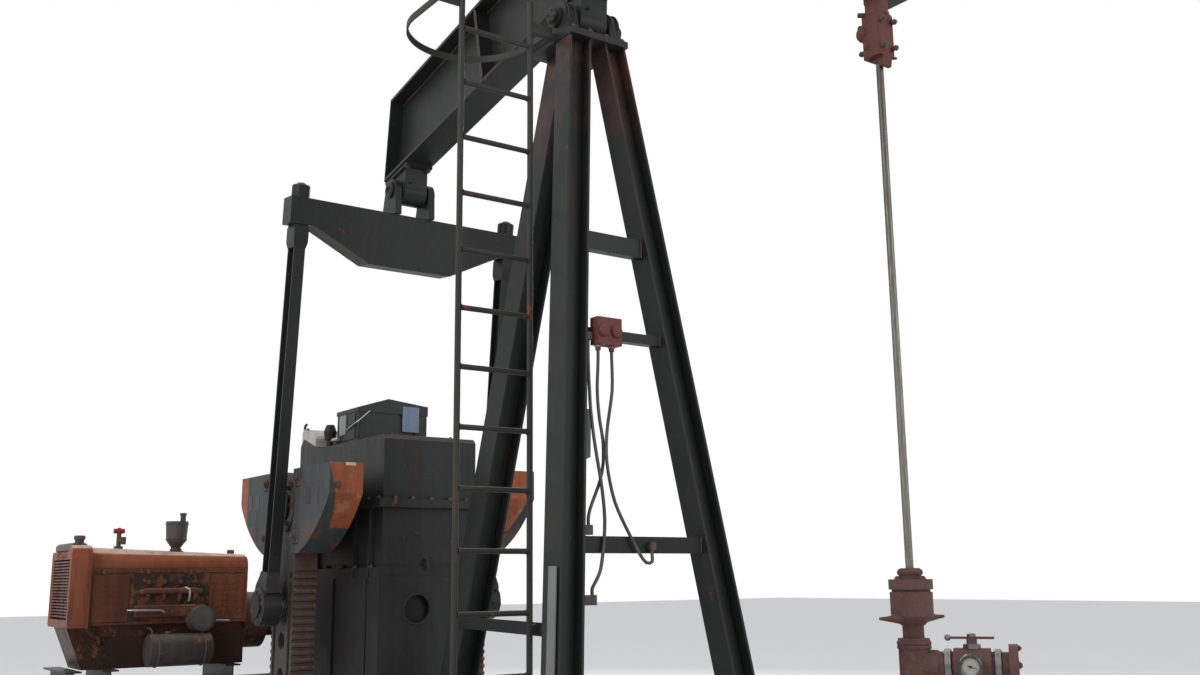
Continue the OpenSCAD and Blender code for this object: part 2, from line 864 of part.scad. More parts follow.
module stuffing_box() {
  body_r = 84;
  color("#6a4034")
  translate([front_arm, 0, stuffing_z - 240])
  difference() {
    union() {
      cylinder(r = 42, h = 40);
      translate([0, 0, 20]) cylinder(r1 = 46, r2 = body_r, h = 35);
      translate([0, 0, 55]) cylinder(r = body_r, h = 95);
      translate([0, 0, 150]) cylinder(r = body_r - 8, h = 10);
      translate([0, 0, 160]) cylinder(r = body_r + 3, h = 40);
      translate([0, 0, 200]) cylinder(r = 45, h = 40);
      // Tapered arms that turn the packing cap
      for (s = [-1, 1])
        translate([0, s*60, 48]) rotate([-s*90, 0, 0]) cylinder(r1 = 24, r2 = 8, h = 100);
    }
    translate([0, 0, -eps]) cylinder(r = rod_d/2 + run_fit, h = 250);
  }
}

tee_x = 150;
tee_l = 140;
tee_r = 64;
gauge_x = 215;

// Valve on the outlet, with its lever on top, cut at the flange of the flow line
module flow_tee() {
  flange_t = 34;
  end_x = 390;
  lever = [170, 24, 9];
  color("#5a3a32")
  translate([front_arm, 0, outlet_z]) rotate([0, 0, outlet_turn]) {
    difference() {
      union() {
        translate([outlet_x, 0, 0]) bar_x(pipe_r, end_x - outlet_x);
        translate([tee_x, 0, 0]) bar_x(tee_r, tee_l);
        translate([end_x - flange_t, 0, 0]) bar_x(tee_r + 16, flange_t);
        translate([tee_x + tee_l/2, 0, 0]) cylinder(r = 20, h = 105);
      }
      translate([outlet_x - eps, 0, 0]) bar_x(bore_r, end_x);
    }
    translate([tee_x + tee_l/2 - lever[0]/2, -lever[1]/2, 98]) cube(lever);
  }
}

module pressure_gauge() {
  stem_l = 24;
  dial_t = 36;
  dial_r = 46;
  color("#c8c8c4")
  translate([front_arm, 0, outlet_z]) rotate([0, 0, outlet_turn])
    translate([gauge_x, -tee_r, 0]) {
      translate([0, -stem_l/2, 0]) bar_y(12, stem_l);
      translate([0, -stem_l - dial_t/2, 0]) bar_y(dial_r, dial_t);
    }
}

// Walking beam and horse head

end_t = 20;
end_over = 60;
stiffener_t = 14;
beam_tail = tail_arm + 165;
tail_slant = 200;

module walking_beam() {
  bot = beam_drop;
  top = beam_drop + beam_h;
  rough_end = beam_tail + 100;
  color("#454845")
  at_beam()
  difference() {
    union() {
      beam_x(-rough_end, beam_front - end_t, 0, bot, beam_h, beam_w, beam_flange, beam_web);
      translate([beam_front - end_t, -head_w/2, bot - end_over])
        cube([end_t, head_w, beam_h + 2*end_over]);
      for (u = [-1000, 0, 1000])
        translate([u - stiffener_t/2, -beam_w/2, bot]) cube([stiffener_t, beam_w, beam_h]);
    }
    // Slanted tail cut, longer at the bottom
    side_plate(2*beam_w)
      polygon([[-beam_tail, bot - eps], [tail_slant - beam_tail, top + eps],
               [-rough_end - 10, top + eps], [-rough_end - 10, bot - eps]]);
  }
}

// Side of the horse head: the arc cut by its back, top and foot
head_top = 1110;
head_low = -560;
head_out = front_arm + 270;

module head_outline(r, inset) {
  intersection() {
    circle(r = r, $fn = 180);
    polygon([[beam_front + inset, beam_drop - end_over + inset],
             [beam_front + inset, beam_drop + beam_h + end_over - inset/2],
             [beam_front + 30 + inset, head_top - inset], [head_out, head_top + 70 - inset],
             [head_out, head_low + inset], [beam_front + 290 + inset/2, head_low + inset]]);
  }
}

module horsehead() {
  color("#454845")
  at_beam()
  difference() {
    side_plate(head_w) head_outline(head_r, 0);
    side_plate(head_w - 2*head_t) head_outline(head_r - 22, head_t);
    // Window in both side plates
    side_plate(head_w + 10)
      intersection() {
        circle(r = head_r - 110, $fn = 120);
        polygon([[beam_front + 90, 300], [beam_front + 90, 700], [head_out, 910], [head_out, 50]]);
      }
  }
}

module bridle_wrap() {
  color("#3c3c3c")
  at_beam()
  for (s = [-1, 1])
    translate([0, s*wire_y, 0]) rotate([90, 0, 0])
      rotate([0, 0, -rest_tilt]) rotate_extrude(angle = 37, $fn = 180)
        translate([front_arm, 0]) circle(d = wire_d, $fn = 16);
}

// Bearing housing under the beam, bored for a shaft of radius r
module beam_bearing(u, w, r) {
  translate([u, 0, 0])
  difference() {
    union() {
      side_plate(w)
        union() {
          circle(r = r + 45);
          polygon([[-r - 45, 0], [r + 45, 0], [r + 80, beam_drop - 30], [-r - 80, beam_drop - 30]]);
        }
      translate([-r - 130, -w/2 - 15, beam_drop - 30]) cube([2*r + 260, w + 30, 30]);
    }
    bar_y(r + run_fit, w + 50);
  }
}

module saddle_bearing() {
  color("#3a3d3a") at_beam() beam_bearing(0, housing_w, shaft_r);
}

tail_r = 50;
tail_w = 180;

module tail_bearing() {
  color("#3a3d3a") at_beam() beam_bearing(-tail_arm, tail_w, tail_r);
}

// Equalizer and pitmans

eq_top = -185;
eq_half = 930;

module equalizer() {
  lug_y = tail_w/2 + 20 + 25;
  color("#3f4240")
  at_tail() {
    translate([-75, 0, 0]) rotate([90, 0, 90])
      linear_extrude(height = 150)
        polygon([[-eq_half, eq_top], [eq_half, eq_top], [eq_half, eq_top - 190],
                 [pitman_y - pitman_t, eq_top - 190], [330, eq_top - 400],
                 [-330, eq_top - 400], [-pitman_y + pitman_t, eq_top - 190],
                 [-eq_half, eq_top - 190]]);
    for (s = [-1, 1])
      translate([0, s*lug_y, 0])
        side_plate(50)
          union() {
            circle(r = 85);
            polygon([[-85, 0], [85, 0], [110, eq_top], [-110, eq_top]]);
          }
    bar_y(tail_r, 2*lug_y + 90);
    for (s = [-1, 1])
      translate([0, s*pitman_y, eq_top]) cylinder(r = 60, h = 90);
  }
}

housing_r = 130;
housing_in = crank_y + weight_t/2 + 15;
housing_out = housing_in + 115;

module pitman(s) {
  top = eq_top - 190;
  at_tail()
    translate([0, s*pitman_y, -pitman_l + housing_r])
      linear_extrude(height = pitman_l - housing_r + top)
        rotate(90) i_section(pitman_w, pitman_t, 12, 10);
}

module pitman_near() {
  color("#4a4d4a") pitman(-1);
}

module pitman_far() {
  color("#4a4d4a") pitman(1);
}

// Wrist pin bearings, with the end of each pin inside its housing
module wrist_bearings() {
  mid = (housing_in + housing_out)/2;
  len = housing_out - housing_in;
  color("#2b2e30")
  at_tail()
  for (s = [-1, 1])
    translate([0, s*mid, -pitman_l]) {
      bar_y(housing_r, len);
      translate([0, s*(len/2 + 15), 0]) bar_y(75, 30);
    }
}

// Cranks and counterweights

stroke_holes = [throw, throw + 230, throw + 460, throw + 690];
weight_top = 245;
weight_bottom = 320;
pin_hole_r = 55;
hub_r = 235;

module crank_outline() {
  difference() {
    union() {
      circle(r = hub_r);
      translate([-crank_w/2, -crank_r + 90]) square([crank_w, crank_r - 90]);
      translate([-crank_w/2 + 90, -crank_r]) square([crank_w - 180, 200]);
      for (s = [-1, 1])
        translate([s*(crank_w/2 - 90), -crank_r + 90]) circle(r = 90);
    }
    for (s = [-1, 1])
      for (z = [weight_bottom + 130 : tooth_pitch : crank_r - 160])
        translate([s*crank_w/2, -z])
          polygon([[s*eps, -tooth_pitch*0.36], [s*eps, tooth_pitch*0.36],
                   [-s*tooth_h, tooth_pitch*0.16], [-s*tooth_h, -tooth_pitch*0.16]]);
  }
}

module crank(s) {
  at_shaft()
  translate([0, s*crank_y, 0])
  difference() {
    union() {
      side_plate(crank_t) crank_outline();
      bar_y(170, crank_t + 36);
    }
    bar_y(shaft_d/2, crank_t + 60);
    for (r = stroke_holes)
      translate([0, 0, -r]) bar_y(pin_hole_r, crank_t + 20);
    // Guide slots for the counterweight bolts, along both edges
    for (o = [-1, 1])
      translate([o*(crank_w/2 - 62), s*crank_t/2, -weight_bottom - 130 - 550])
        cube([44, 50, 1100], center = true);
  }
}

module crank_near() {
  color("#8b8f8e") crank(-1);
}

module crank_far() {
  color("#8b8f8e") crank(1);
}

// Half of a pair, flat on top, with a long arc from its outer side down to the crank
module weight_outline() {
  inner = crank_w/2;
  arc_r = 1000;
  arc_x = -20;
  arc_z = 620;
  difference() {
    intersection() {
      translate([inner, -weight_bottom]) square([weight_r - inner, weight_top + weight_bottom]);
      translate([arc_x, arc_z]) circle(r = arc_r, $fn = 180);
    }
    circle(r = hub_r + soft_gap);
  }
}

module weights(s) {
  at_shaft()
  translate([0, s*crank_y, 0])
  for (o = [0, 1])
    mirror([o, 0, 0])
      side_plate(weight_t) weight_outline();
}

module weights_near() {
  color("#6d7f92") weights(-1);
}

module weights_far() {
  color("#6d7f92") weights(1);
}

module slow_shaft() {
  color("#2b2e30") at_shaft() {
    bar_y(shaft_d/2, 2*crank_y + crank_t + 30);
  }
}

// Carrier bar, rod clamp and polished rod

bar_z = clamp_z + 345;
bar_h = 110;

module carrier_bar() {
  color("#3c3c3c")
  translate([front_arm, 0, bar_z])
  difference() {
    union() {
      translate([-60, -150, 0]) cube([120, 300, bar_h]);
      for (s = [-1, 1]) translate([0, s*wire_y, bar_h]) cylinder(r = 34, h = 60);
    }
    translate([0, 0, -eps]) cylinder(r = rod_d/2 + 3, h = bar_h + 2*eps);
  }
}

module rod_clamp() {
  body_z = 45;
  body_h = 195;
  body_x = 98;
  body_y = 106;
  corner = 14;
  color("#8a3a30")
  translate([front_arm, 0, clamp_z])
  difference() {
    union() {
      // Two bolted halves round the rod, with rounded corners
      translate([0, 0, body_z]) {
        translate([-body_x/2, corner - body_y/2, 0]) cube([body_x, body_y - 2*corner, body_h]);
        translate([corner - body_x/2, -body_y/2, 0]) cube([body_x - 2*corner, body_y, body_h]);
        for (x = [-1, 1])
          for (y = [-1, 1])
            translate([x*(body_x/2 - corner), y*(body_y/2 - corner), 0])
              cylinder(r = corner, h = body_h);
      }
      translate([0, 0, body_z + body_h]) cylinder(r = 50, h = bar_z - clamp_z - body_z - body_h);
      // Round lobe of the load cell side
      translate([-46, 0, body_z + 130]) bar_y(36, 80);
      // Wedge below, on the other side
      side_plate(56)
        polygon([[-40, body_z + eps], [49, body_z + eps], [42, 0], [24, 0], [10, 24], [-24, 30]]);
      for (z = [body_z + 38, body_z + 160])
        for (y = [-36, 36])
          translate([-64, y, z]) bar_x(10, 128);
    }
    translate([0, 0, -eps]) cylinder(r = rod_d/2 + run_fit, h = bar_z - clamp_z + 2*eps);
  }
}

module polished_rod() {
  color("#b8bcbf")
  translate([front_arm, 0, stuffing_z - 210]) cylinder(d = rod_d, h = bar_z + bar_h + 140 - stuffing_z + 210);
}

// Straight run of the bridle from the carrier bar up to the horse head
module bridle_hang() {
  lo = bar_z + bar_h + 60;
  color("#3c3c3c")
  for (s = [-1, 1])
    translate([front_arm, s*wire_y, lo]) cylinder(d = wire_d, h = pivot_z - lo, $fn = 16);
}

skid_rails();
skid_crossbeams();
front_leg_near();
front_leg_far();
rear_leg();
leg_braces();
post_head();
gearbox_pedestal();
gearbox();
gearbox_locker();
input_sheave();
drive_belts();
engine_sheave();
brake_drum();
engine_stand();
engine_rails();
engine_block();
engine_hood();
radiator();
air_cleaner();
engine_fittings();
ladder();
ladder_rungs();
ladder_hoop();
junction_box();
leg_switch();
cable_clips();
cable_a();
cable_b();
cable_c();
wellhead();
stuffing_box();
flow_tee();
pressure_gauge();
walking_beam();
horsehead();
bridle_wrap();
tail_bearing();
saddle_bearing();
equalizer();
pitman_near();
pitman_far();
wrist_bearings();
crank_near();
crank_far();
weights_near();
weights_far();
slow_shaft();
carrier_bar();
rod_clamp();
polished_rod();
bridle_hang();
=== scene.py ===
"""Looks of the beam pumping unit: finishes, bolts, ropes, cables, engine and wellhead details.

Metres, in the frame of the CAD part: +X to the well, +Z up, origin on the ground under
the saddle bearing. The near side, with the ladder and the radiator, is at -Y.
"""

import json
import math
import random

import bmesh
import bpy
from mathutils import Matrix, Vector

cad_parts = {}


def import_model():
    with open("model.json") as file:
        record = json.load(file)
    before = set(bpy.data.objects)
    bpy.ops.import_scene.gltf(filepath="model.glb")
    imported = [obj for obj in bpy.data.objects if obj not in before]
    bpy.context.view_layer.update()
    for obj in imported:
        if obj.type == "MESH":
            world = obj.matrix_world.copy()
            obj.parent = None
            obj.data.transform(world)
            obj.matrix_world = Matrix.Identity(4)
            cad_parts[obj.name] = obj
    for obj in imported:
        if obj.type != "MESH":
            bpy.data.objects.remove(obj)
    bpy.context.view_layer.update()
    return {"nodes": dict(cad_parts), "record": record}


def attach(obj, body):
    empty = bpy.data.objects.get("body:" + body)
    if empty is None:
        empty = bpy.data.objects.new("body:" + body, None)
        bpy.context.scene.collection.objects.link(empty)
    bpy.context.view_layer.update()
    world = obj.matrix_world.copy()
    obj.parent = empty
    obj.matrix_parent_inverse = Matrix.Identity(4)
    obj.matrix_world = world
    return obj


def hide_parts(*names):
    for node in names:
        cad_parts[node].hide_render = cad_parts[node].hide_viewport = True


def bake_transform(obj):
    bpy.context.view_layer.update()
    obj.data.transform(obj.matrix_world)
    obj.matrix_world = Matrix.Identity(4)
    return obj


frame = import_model()
NODES = frame["nodes"]
random.seed(7)

X = Vector((1, 0, 0))
Y = Vector((0, 1, 0))
Z = Vector((0, 0, 1))
TURN = 2 * math.pi

# Smallest radius that a closed end shrinks to, and the length of one lump of a weld bead
THINNEST = 0.0004
WELD_STEP = 0.022

# Sizes and places of the part, which its source sets or works out
PIVOT_Z = 4.86
FRONT_ARM = 2.23
TAIL_ARM = 2.295
REST_TILT = math.radians(11.3)
SHAFT = Vector((-2.55, 0, 2.1))
THROW = 0.67
CRANK_Y = 0.66
CRANK_HALF = 0.08
INPUT_X = -3.1
BELT_Y = 0.455
ENGINE_X = -4.79
ENGINE_Z = 0.94
DRIVE_Z = 1.26
LADDER_Y = -0.611
LADDER_HALF = 0.2265
RUNG_STEP = 0.32
SKID_H = 0.3
RAIL_Y = 0.645
FOOT_TOP = 0.322
LEG_TOP = 4.705
CAP_TOP = 4.745
BOX_FRONT = -1.85
BOX_BACK = -3.3
BOX_TOP = 2.56
FLANGE_TOP = 2.128
PEDESTAL_TOP = 1.62
PEDESTAL_BASE = 0.333
RECESS_Y = -0.10
RECESS_Z = 1.405
PITMAN_Y = 0.84
TANK_X = -4.447
TANK_Z = 1.071
CLAMP_Z = 3.77
BAR_Z = 4.115
WIRE_Y = 0.095
WIRE_R = 0.014
STUFFING_Z = 1.62
OUTLET_Z = 1.25
OUTLET_TURN = math.radians(35)

TAIL = Vector((-TAIL_ARM * math.cos(REST_TILT), 0, PIVOT_Z - TAIL_ARM * math.sin(REST_TILT)))
WRIST = SHAFT - THROW * Z
PITMAN_LEAN = math.atan2(TAIL.x - WRIST.x, TAIL.z - WRIST.z)
PITMAN_L = (TAIL - WRIST).length


def at_beam(u, y, w):
    """Point of the walking beam: u ahead of the saddle bearing along it, w above it."""
    c, s = math.cos(REST_TILT), math.sin(REST_TILT)
    return Vector((u * c - w * s, y, PIVOT_Z + u * s + w * c))


def at_tail(u, y, w):
    """Point of the equalizer and pitmans: w along the pitmans, u ahead of them."""
    c, s = math.cos(PITMAN_LEAN), math.sin(PITMAN_LEAN)
    return TAIL + Vector((u * c + w * s, y, w * c - u * s))


BEAM_X = at_beam(1, 0, 0) - at_beam(0, 0, 0)
BEAM_Z = at_beam(0, 0, 1) - at_beam(0, 0, 0)
HANG_Z = at_tail(0, 0, 1) - at_tail(0, 0, 0)


# Finishes

FINISHES = {}


class Value:
    """A number that varies over a surface; arithmetic on it adds Math nodes."""

    def __init__(self, finish, socket):
        self.finish = finish
        self.socket = socket

    def __add__(self, other):
        return self.finish.math("ADD", self, other)

    __radd__ = __add__

    def __sub__(self, other):
        return self.finish.math("SUBTRACT", self, other)

    def __rsub__(self, other):
        return self.finish.math("SUBTRACT", other, self)

    def __mul__(self, other):
        return self.finish.math("MULTIPLY", self, other)

    __rmul__ = __mul__

    def above(self, edge, soft):
        """0 under edge, 1 from edge + soft."""
        return self.finish.math("MULTIPLY", self - edge, 1 / soft, clamp=True)

    def below(self, edge, soft):
        """1 under edge, 0 from edge + soft."""
        return 1 - self.above(edge, soft)

    def size(self):
        """Without its sign."""
        return self.finish.math("ABSOLUTE", self, 0)

    def most(self, other):
        """The larger of the two."""
        return self.finish.math("MAXIMUM", self, other)


class Finish:
    """One material and the nodes of its surface."""

    def __init__(self, name):
        self.material = bpy.data.materials.new(name)
        FINISHES[name] = self.material
        self.material.use_nodes = True
        self.tree = self.material.node_tree
        self.tree.nodes.clear()
        output = self.tree.nodes.new("ShaderNodeOutputMaterial")
        self.shader = self.tree.nodes.new("ShaderNodeBsdfPrincipled")
        self.tree.links.new(self.shader.outputs[0], output.inputs[0])
        self.place = self.node("ShaderNodeTexCoord", out="Object")
        facing = self.node("ShaderNodeTexCoord", out="Normal")
        self.face_x, self.face_y, self.face_z = self.split(facing)
        self.x, self.y, self.z = self.split(self.place)

    def node(self, kind, settings=None, inputs=None, out=0):
        made = self.tree.nodes.new(kind)
        for key, value in (settings or {}).items():
            setattr(made, key, value)
        for key, value in (inputs or {}).items():
            self.feed(made.inputs[key], value)
        return Value(self, made.outputs[out])

    def feed(self, socket, value):
        if isinstance(value, Value):
            self.tree.links.new(value.socket, socket)
        else:
            socket.default_value = value

    def split(self, vector):
        made = self.tree.nodes.new("ShaderNodeSeparateXYZ")
        self.feed(made.inputs[0], vector)
        return [Value(self, socket) for socket in made.outputs]

    def math(self, operation, a, b, clamp=False):
        return self.node("ShaderNodeMath", {"operation": operation, "use_clamp": clamp},
                         {0: a, 1: b})

    def mix(self, a, b, share):
        settings = {"data_type": "RGBA"}
        return self.node("ShaderNodeMix", settings, {0: share, 6: rgba(a), 7: rgba(b)}, out=2)

    def noise(self, scale, detail=5, rough=0.6, stretch=(1, 1, 1), shift=0.0):
        place = self.place
        if stretch != (1, 1, 1) or shift:
            inputs = {"Vector": place, "Scale": stretch, "Location": (shift, shift, shift)}
            place = self.node("ShaderNodeMapping", None, inputs)
        inputs = {"Vector": place, "Scale": scale, "Detail": detail, "Roughness": rough}
        return self.node("ShaderNodeTexNoise", None, inputs)

    def bump(self, height, distance, strength=1.0):
        inputs = {"Height": height, "Distance": distance, "Strength": strength}
        self.set("Normal", self.node("ShaderNodeBump", None, inputs))

    def set(self, socket, value):
        self.feed(self.shader.inputs[socket], value)


def rgba(colour):
    if isinstance(colour, Value):
        return colour
    return (colour[0], colour[1], colour[2], 1)


def shade(colour, factor):
    return tuple(min(1, part * factor) for part in colour)


RUST_DARK = (0.060, 0.026, 0.016)
RUST_LIGHT = (0.20, 0.078, 0.033)
DUST = (0.30, 0.26, 0.20)
# Dark grease; the same colour paints the shade inside the pedestal's recess.
GREASE_AND_SHADE = (0.010, 0.010, 0.009)


def worn_paint(name, colour, rust=0.55, rough=0.42, dust=0.25, grime=0.35, shift=0.0, extra=None):
    """Faded paint with rust patches, runs of rust, chips, grime and dust on its tops.

    rust is the threshold of the patches: lower gives more of them. extra changes the
    paint's colour before the wear goes over it, and in some finishes paints shade and highlights
    into it.
    """
    f = Finish(name)
    broad = f.noise(0.9, 4, 0.55, shift=shift)
    patch = f.noise(3.4, 8, 0.68, shift=shift + 3)
    fine = f.noise(38, 6, 0.7)
    grain = f.noise(190, 3, 0.6)
    runs = f.noise(2.2, 6, 0.6, stretch=(7, 7, 0.55), shift=shift)
    tone = f.mix(shade(colour, 0.72), shade(colour, 1.28), broad.above(0.3, 0.4))
    tone = f.mix(tone, shade(colour, 1.9), fine.above(0.62, 0.12) * 0.3)
    if extra:
        tone = extra(f, tone, fine)
    dirt = (runs * 0.6 + patch * 0.5).above(0.50, 0.22) * grime
    tone = f.mix(tone, GREASE_AND_SHADE, dirt)
    worn = (patch * 0.62 + fine * 0.26 + runs * 0.2).above(rust, 0.05)
    chips = fine.above(0.675, 0.02) * patch.above(0.42, 0.1)
    bare = worn.most(chips)
    red = f.mix(RUST_DARK, RUST_LIGHT, (fine * 0.6 + grain * 0.5).above(0.42, 0.3))
    tone = f.mix(tone, red, bare)
    stain = (runs.above(0.56, 0.14) * broad.above(0.4, 0.2)) * 0.12
    tone = f.mix(tone, shade(RUST_LIGHT, 0.8), stain)
    tops = f.face_z.above(0.55, 0.3) * (patch + fine * 0.4).above(0.5, 0.35) * dust
    tone = f.mix(tone, DUST, tops)
    f.set("Base Color", tone)
    f.set("Roughness", bare * 0.38 + dirt * 0.1 + tops * 0.4 + (fine * 0.22 + (rough - 0.11)))
    f.set("Specular IOR Level", 0.17)
    f.bump(bare * -0.35 + grain * bare * 0.7 + fine * 0.12 + grain * 0.05, 0.0022, 0.8)


def bare_metal(name, colour, rough=0.3, rust=0.72):
    """Bare or plated metal with fine scratches and a few rust spots."""
    f = Finish(name)
    fine = f.noise(60, 5, 0.65)
    patch = f.noise(5, 7, 0.7)
    spots = (patch * 0.6 + fine * 0.45).above(rust, 0.06)
    tone = f.mix(shade(colour, 0.7), shade(colour, 1.15), fine.above(0.3, 0.4))
    tone = f.mix(tone, f.mix(RUST_DARK, RUST_LIGHT, fine.above(0.4, 0.3)), spots)
    f.set("Base Color", tone)
    f.set("Metallic", 0.9 - spots * 0.8)
    f.set("Roughness", spots * 0.45 + fine * 0.25 + (rough - 0.12))
    f.bump(fine * 0.5 + spots * 0.5, 0.0008, 0.6)


def rubber(name, colour, rough=0.6, dust=0.3):
    """Black rubber, greyed by dust."""
    f = Finish(name)
    broad = f.noise(5, 4, 0.6)
    fine = f.noise(80, 4, 0.6)
    tone = f.mix(shade(colour, 0.7), shade(colour, 1.5), broad)
    dusty = (broad + fine * 0.5).above(0.75, 0.3) * dust
    f.set("Base Color", f.mix(tone, shade(DUST, 0.45), dusty))
    f.set("Roughness", dusty * 0.25 + (fine * 0.15 + (rough - 0.08)))
    f.bump(fine, 0.0006, 0.5)


def rusted_iron(name, colour, rough=0.72):
    """Iron under a closed coat of rust, with flakes and remains of paint."""
    f = Finish(name)
    broad = f.noise(3.5, 6, 0.62)
    fine = f.noise(45, 7, 0.72)
    grain = f.noise(240, 3, 0.6)
    tone = f.mix(shade(colour, 0.45), shade(colour, 1.35), broad.above(0.3, 0.4))
    tone = f.mix(tone, RUST_LIGHT, fine.above(0.52, 0.2) * 0.55)
    tone = f.mix(tone, (0.035, 0.030, 0.028), (broad * 0.6 + fine * 0.5).above(0.58, 0.1) * 0.8)
    f.set("Base Color", tone)
    f.set("Roughness", fine * 0.3 + (rough - 0.15))
    f.set("Specular IOR Level", 0.3)
    f.bump(fine * 0.6 + grain * 0.4, 0.0025, 0.8)


STRUCTURE = (0.0155, 0.0180, 0.0168)
MACHINE = (0.0205, 0.0208, 0.0212)
WEIGHT_BLUE = (0.037, 0.044, 0.046)
WEIGHT_ORANGE = (0.33, 0.095, 0.040)
ENGINE_ORANGE = (0.22, 0.062, 0.028)


def weight_faces(f, tone, fine):
    """Orange upper part of a counterweight's ends; below the middle, painted shade: the orange
    stops and rust-coloured patches darken the lower part.
    """
    worn = f.noise(7, 7, 0.7).above(0.60, 0.05) * 0.75
    orange = f.mix(f.mix(WEIGHT_ORANGE, (0.48, 0.26, 0.14), worn), shade(WEIGHT_ORANGE, 0.6), fine)
    rise = f.z - SHAFT.z
    along = f.x - SHAFT.x
    end = (f.y.size() - rise * 0.235).below(0.717, 0.006) * f.face_y.size().below(0.5, 0.1)
    rear = along.below(-0.672, 0.008) * rise.above(-0.34, 0.05)
    # Painted shade: no orange on the ends below the middle, and rust-coloured patches darken the
    # lower part.
    orange_above_shade = end.most(rear) * rise.above(-0.172, 0.012).most(rear)
    low_shade_patches = f.noise(4, 7, 0.7, shift=2).above(0.47, 0.08) * rise.below(-0.17, 0.06)
    tone = f.mix(tone, f.mix(RUST_DARK, (0.20, 0.075, 0.052), fine), low_shade_patches * 0.8)
    return f.mix(tone, orange, orange_above_shade)


def soot(f, tone, fine):
    """Dark, oily lower part of the engine's paint."""
    high = f.z + fine * 0.25
    return f.mix(shade(RUST_DARK, 0.5), tone, high.above(1.28, 0.25))


def post_patches(f, tone, fine):
    """Reddish primer that shows on the upper part of the post."""
    blotch = f.noise(2.1, 6, 0.7, shift=9)
    upper = (f.z + blotch * 0.8).above(4.45, 0.35) * f.z.below(4.72, 0.06)
    upper = upper * f.x.size().below(0.36, 0.1)
    return f.mix(tone, (0.14, 0.045, 0.034), upper * (blotch + fine * 0.2).above(0.54, 0.1) * 0.32)


def sooty_side(f, tone, fine):
    """Oil and soot on the hood round the open middle of its side."""
    blotch = f.noise(6, 6, 0.7, shift=4)
    middle = (f.y + 0.88 + blotch * 0.3).size().below(0.30, 0.45) * f.z.below(1.66, 0.12)
    low = (f.z + blotch * 0.35).below(1.55, 0.3)
    return f.mix(tone, (0.045, 0.022, 0.015), (middle * 0.75).most(low * 0.45))


def sky_lit_top(f, tone, fine):
    """Painted highlight: the paint is made pale where it faces the sky, as sky light falls on the
    hood's top.
    """
    tone = sooty_side(f, tone, fine)
    return f.mix(tone, (0.62, 0.42, 0.34), f.face_z.above(0.66, 0.14) * (fine * 0.4 + 0.65))


def crank_faces(f, tone, fine):
    """Worn teeth along the crank edges, down to rusty iron."""
    edges = f.face_x.size().above(0.4, 0.2)
    iron = f.mix((0.050, 0.028, 0.024), (0.125, 0.062, 0.044), fine)
    return f.mix(tone, iron, edges * 0.85)


def recess_shade(f, tone, fine):
    """Painted shade and dirt in the blind round opening of the gear case's pedestal."""
    across = f.y - RECESS_Y
    up = f.z - RECESS_Z
    inside = (across * across + up * up).below(0.0088, 0.0003)
    depth = f.x.above(-1.96, 0.01) * f.x.below(-1.824, 0.001)
    return f.mix(tone, GREASE_AND_SHADE, inside * depth * 0.95)


def tank_shade(f, tone, fine):
    """Painted shade on the tank under the engine, darkest at its inner end."""
    blotch = f.noise(5, 6, 0.7, shift=6)
    inner = (f.y + blotch * 0.2).above(-0.88, 0.3)
    # Painted shade: the tank is darkened below its top, more at its inner end.
    return f.mix(tone, (0.034, 0.026, 0.020), f.z.below(1.19, 0.03) * (inner * 0.4 + 0.45))


worn_paint("structure_paint", STRUCTURE, rust=0.65, dust=0.16, extra=post_patches)
worn_paint("machine_paint", MACHINE, rust=0.655, rough=0.42, grime=0.7, dust=0.2, shift=5,
           extra=recess_shade)
worn_paint("locker_paint", (0.034, 0.036, 0.036), rust=0.65, rough=0.45, shift=8)
worn_paint("crank_paint", (0.046, 0.051, 0.052), rust=0.585, grime=0.5, shift=11,
           extra=crank_faces)
worn_paint("weight_paint", WEIGHT_BLUE, rust=0.59, rough=0.5, grime=0.5, shift=14,
           extra=weight_faces)
worn_paint("engine_orange", ENGINE_ORANGE, rust=0.57, rough=0.45, grime=0.85, shift=17,
           extra=sooty_side)
# Engine orange with a painted sky-lit highlight on faces turned up.
worn_paint("faded_orange", ENGINE_ORANGE, rust=0.60, rough=0.4, grime=0.3, shift=18,
           extra=sky_lit_top)
worn_paint("engine_red", (0.110, 0.036, 0.028), rust=0.57, rough=0.4, grime=0.8, shift=20,
           extra=soot)
worn_paint("engine_grey", (0.078, 0.070, 0.063), rust=0.60, rough=0.42, grime=0.6, shift=23,
           extra=tank_shade)
worn_paint("oxide_red", (0.120, 0.040, 0.034), rust=0.61, rough=0.6, grime=0.35, shift=26)
worn_paint("pale_plate", (0.25, 0.265, 0.26), rust=0.65, rough=0.45, grime=0.3, shift=43)
# Pale finish that paints a highlight of sky light on the case's sloped rear cover.
worn_paint("bleached_sheet", (0.40, 0.375, 0.345), rust=0.64, rough=0.5, grime=0.3, shift=40)
worn_paint("pale_grey", (0.15, 0.155, 0.15), rust=0.65, rough=0.45, grime=0.3, shift=29)
worn_paint("ladder_steel", (0.028, 0.029, 0.026), rust=0.625, rough=0.5, grime=0.3, shift=32)
# Cream finish used only for the painted highlight strip on a counterweight's top edge.
worn_paint("cream_paint", (0.52, 0.45, 0.32), rust=0.60, rough=0.5, grime=0.4, shift=35)
worn_paint("sky_blue_panel", (0.19, 0.25, 0.36), rust=0.68, rough=0.3, grime=0.2, shift=38)
rusted_iron("well_rust", (0.086, 0.040, 0.034))
rusted_iron("bolt_iron", (0.085, 0.055, 0.045), rough=0.6)
bare_metal("galvanised", (0.065, 0.067, 0.064), rough=0.6, rust=0.60)
bare_metal("gauge_steel", (0.075, 0.075, 0.072), rough=0.3)
bare_metal("pipe_steel", (0.44, 0.43, 0.41), rough=0.42, rust=0.66)
bare_metal("bare_steel", (0.18, 0.175, 0.17), rough=0.40, rust=0.62)
rubber("belt_rubber", (0.026, 0.026, 0.027))
rubber("cable_rubber", (0.018, 0.018, 0.020), rough=0.45, dust=0.5)


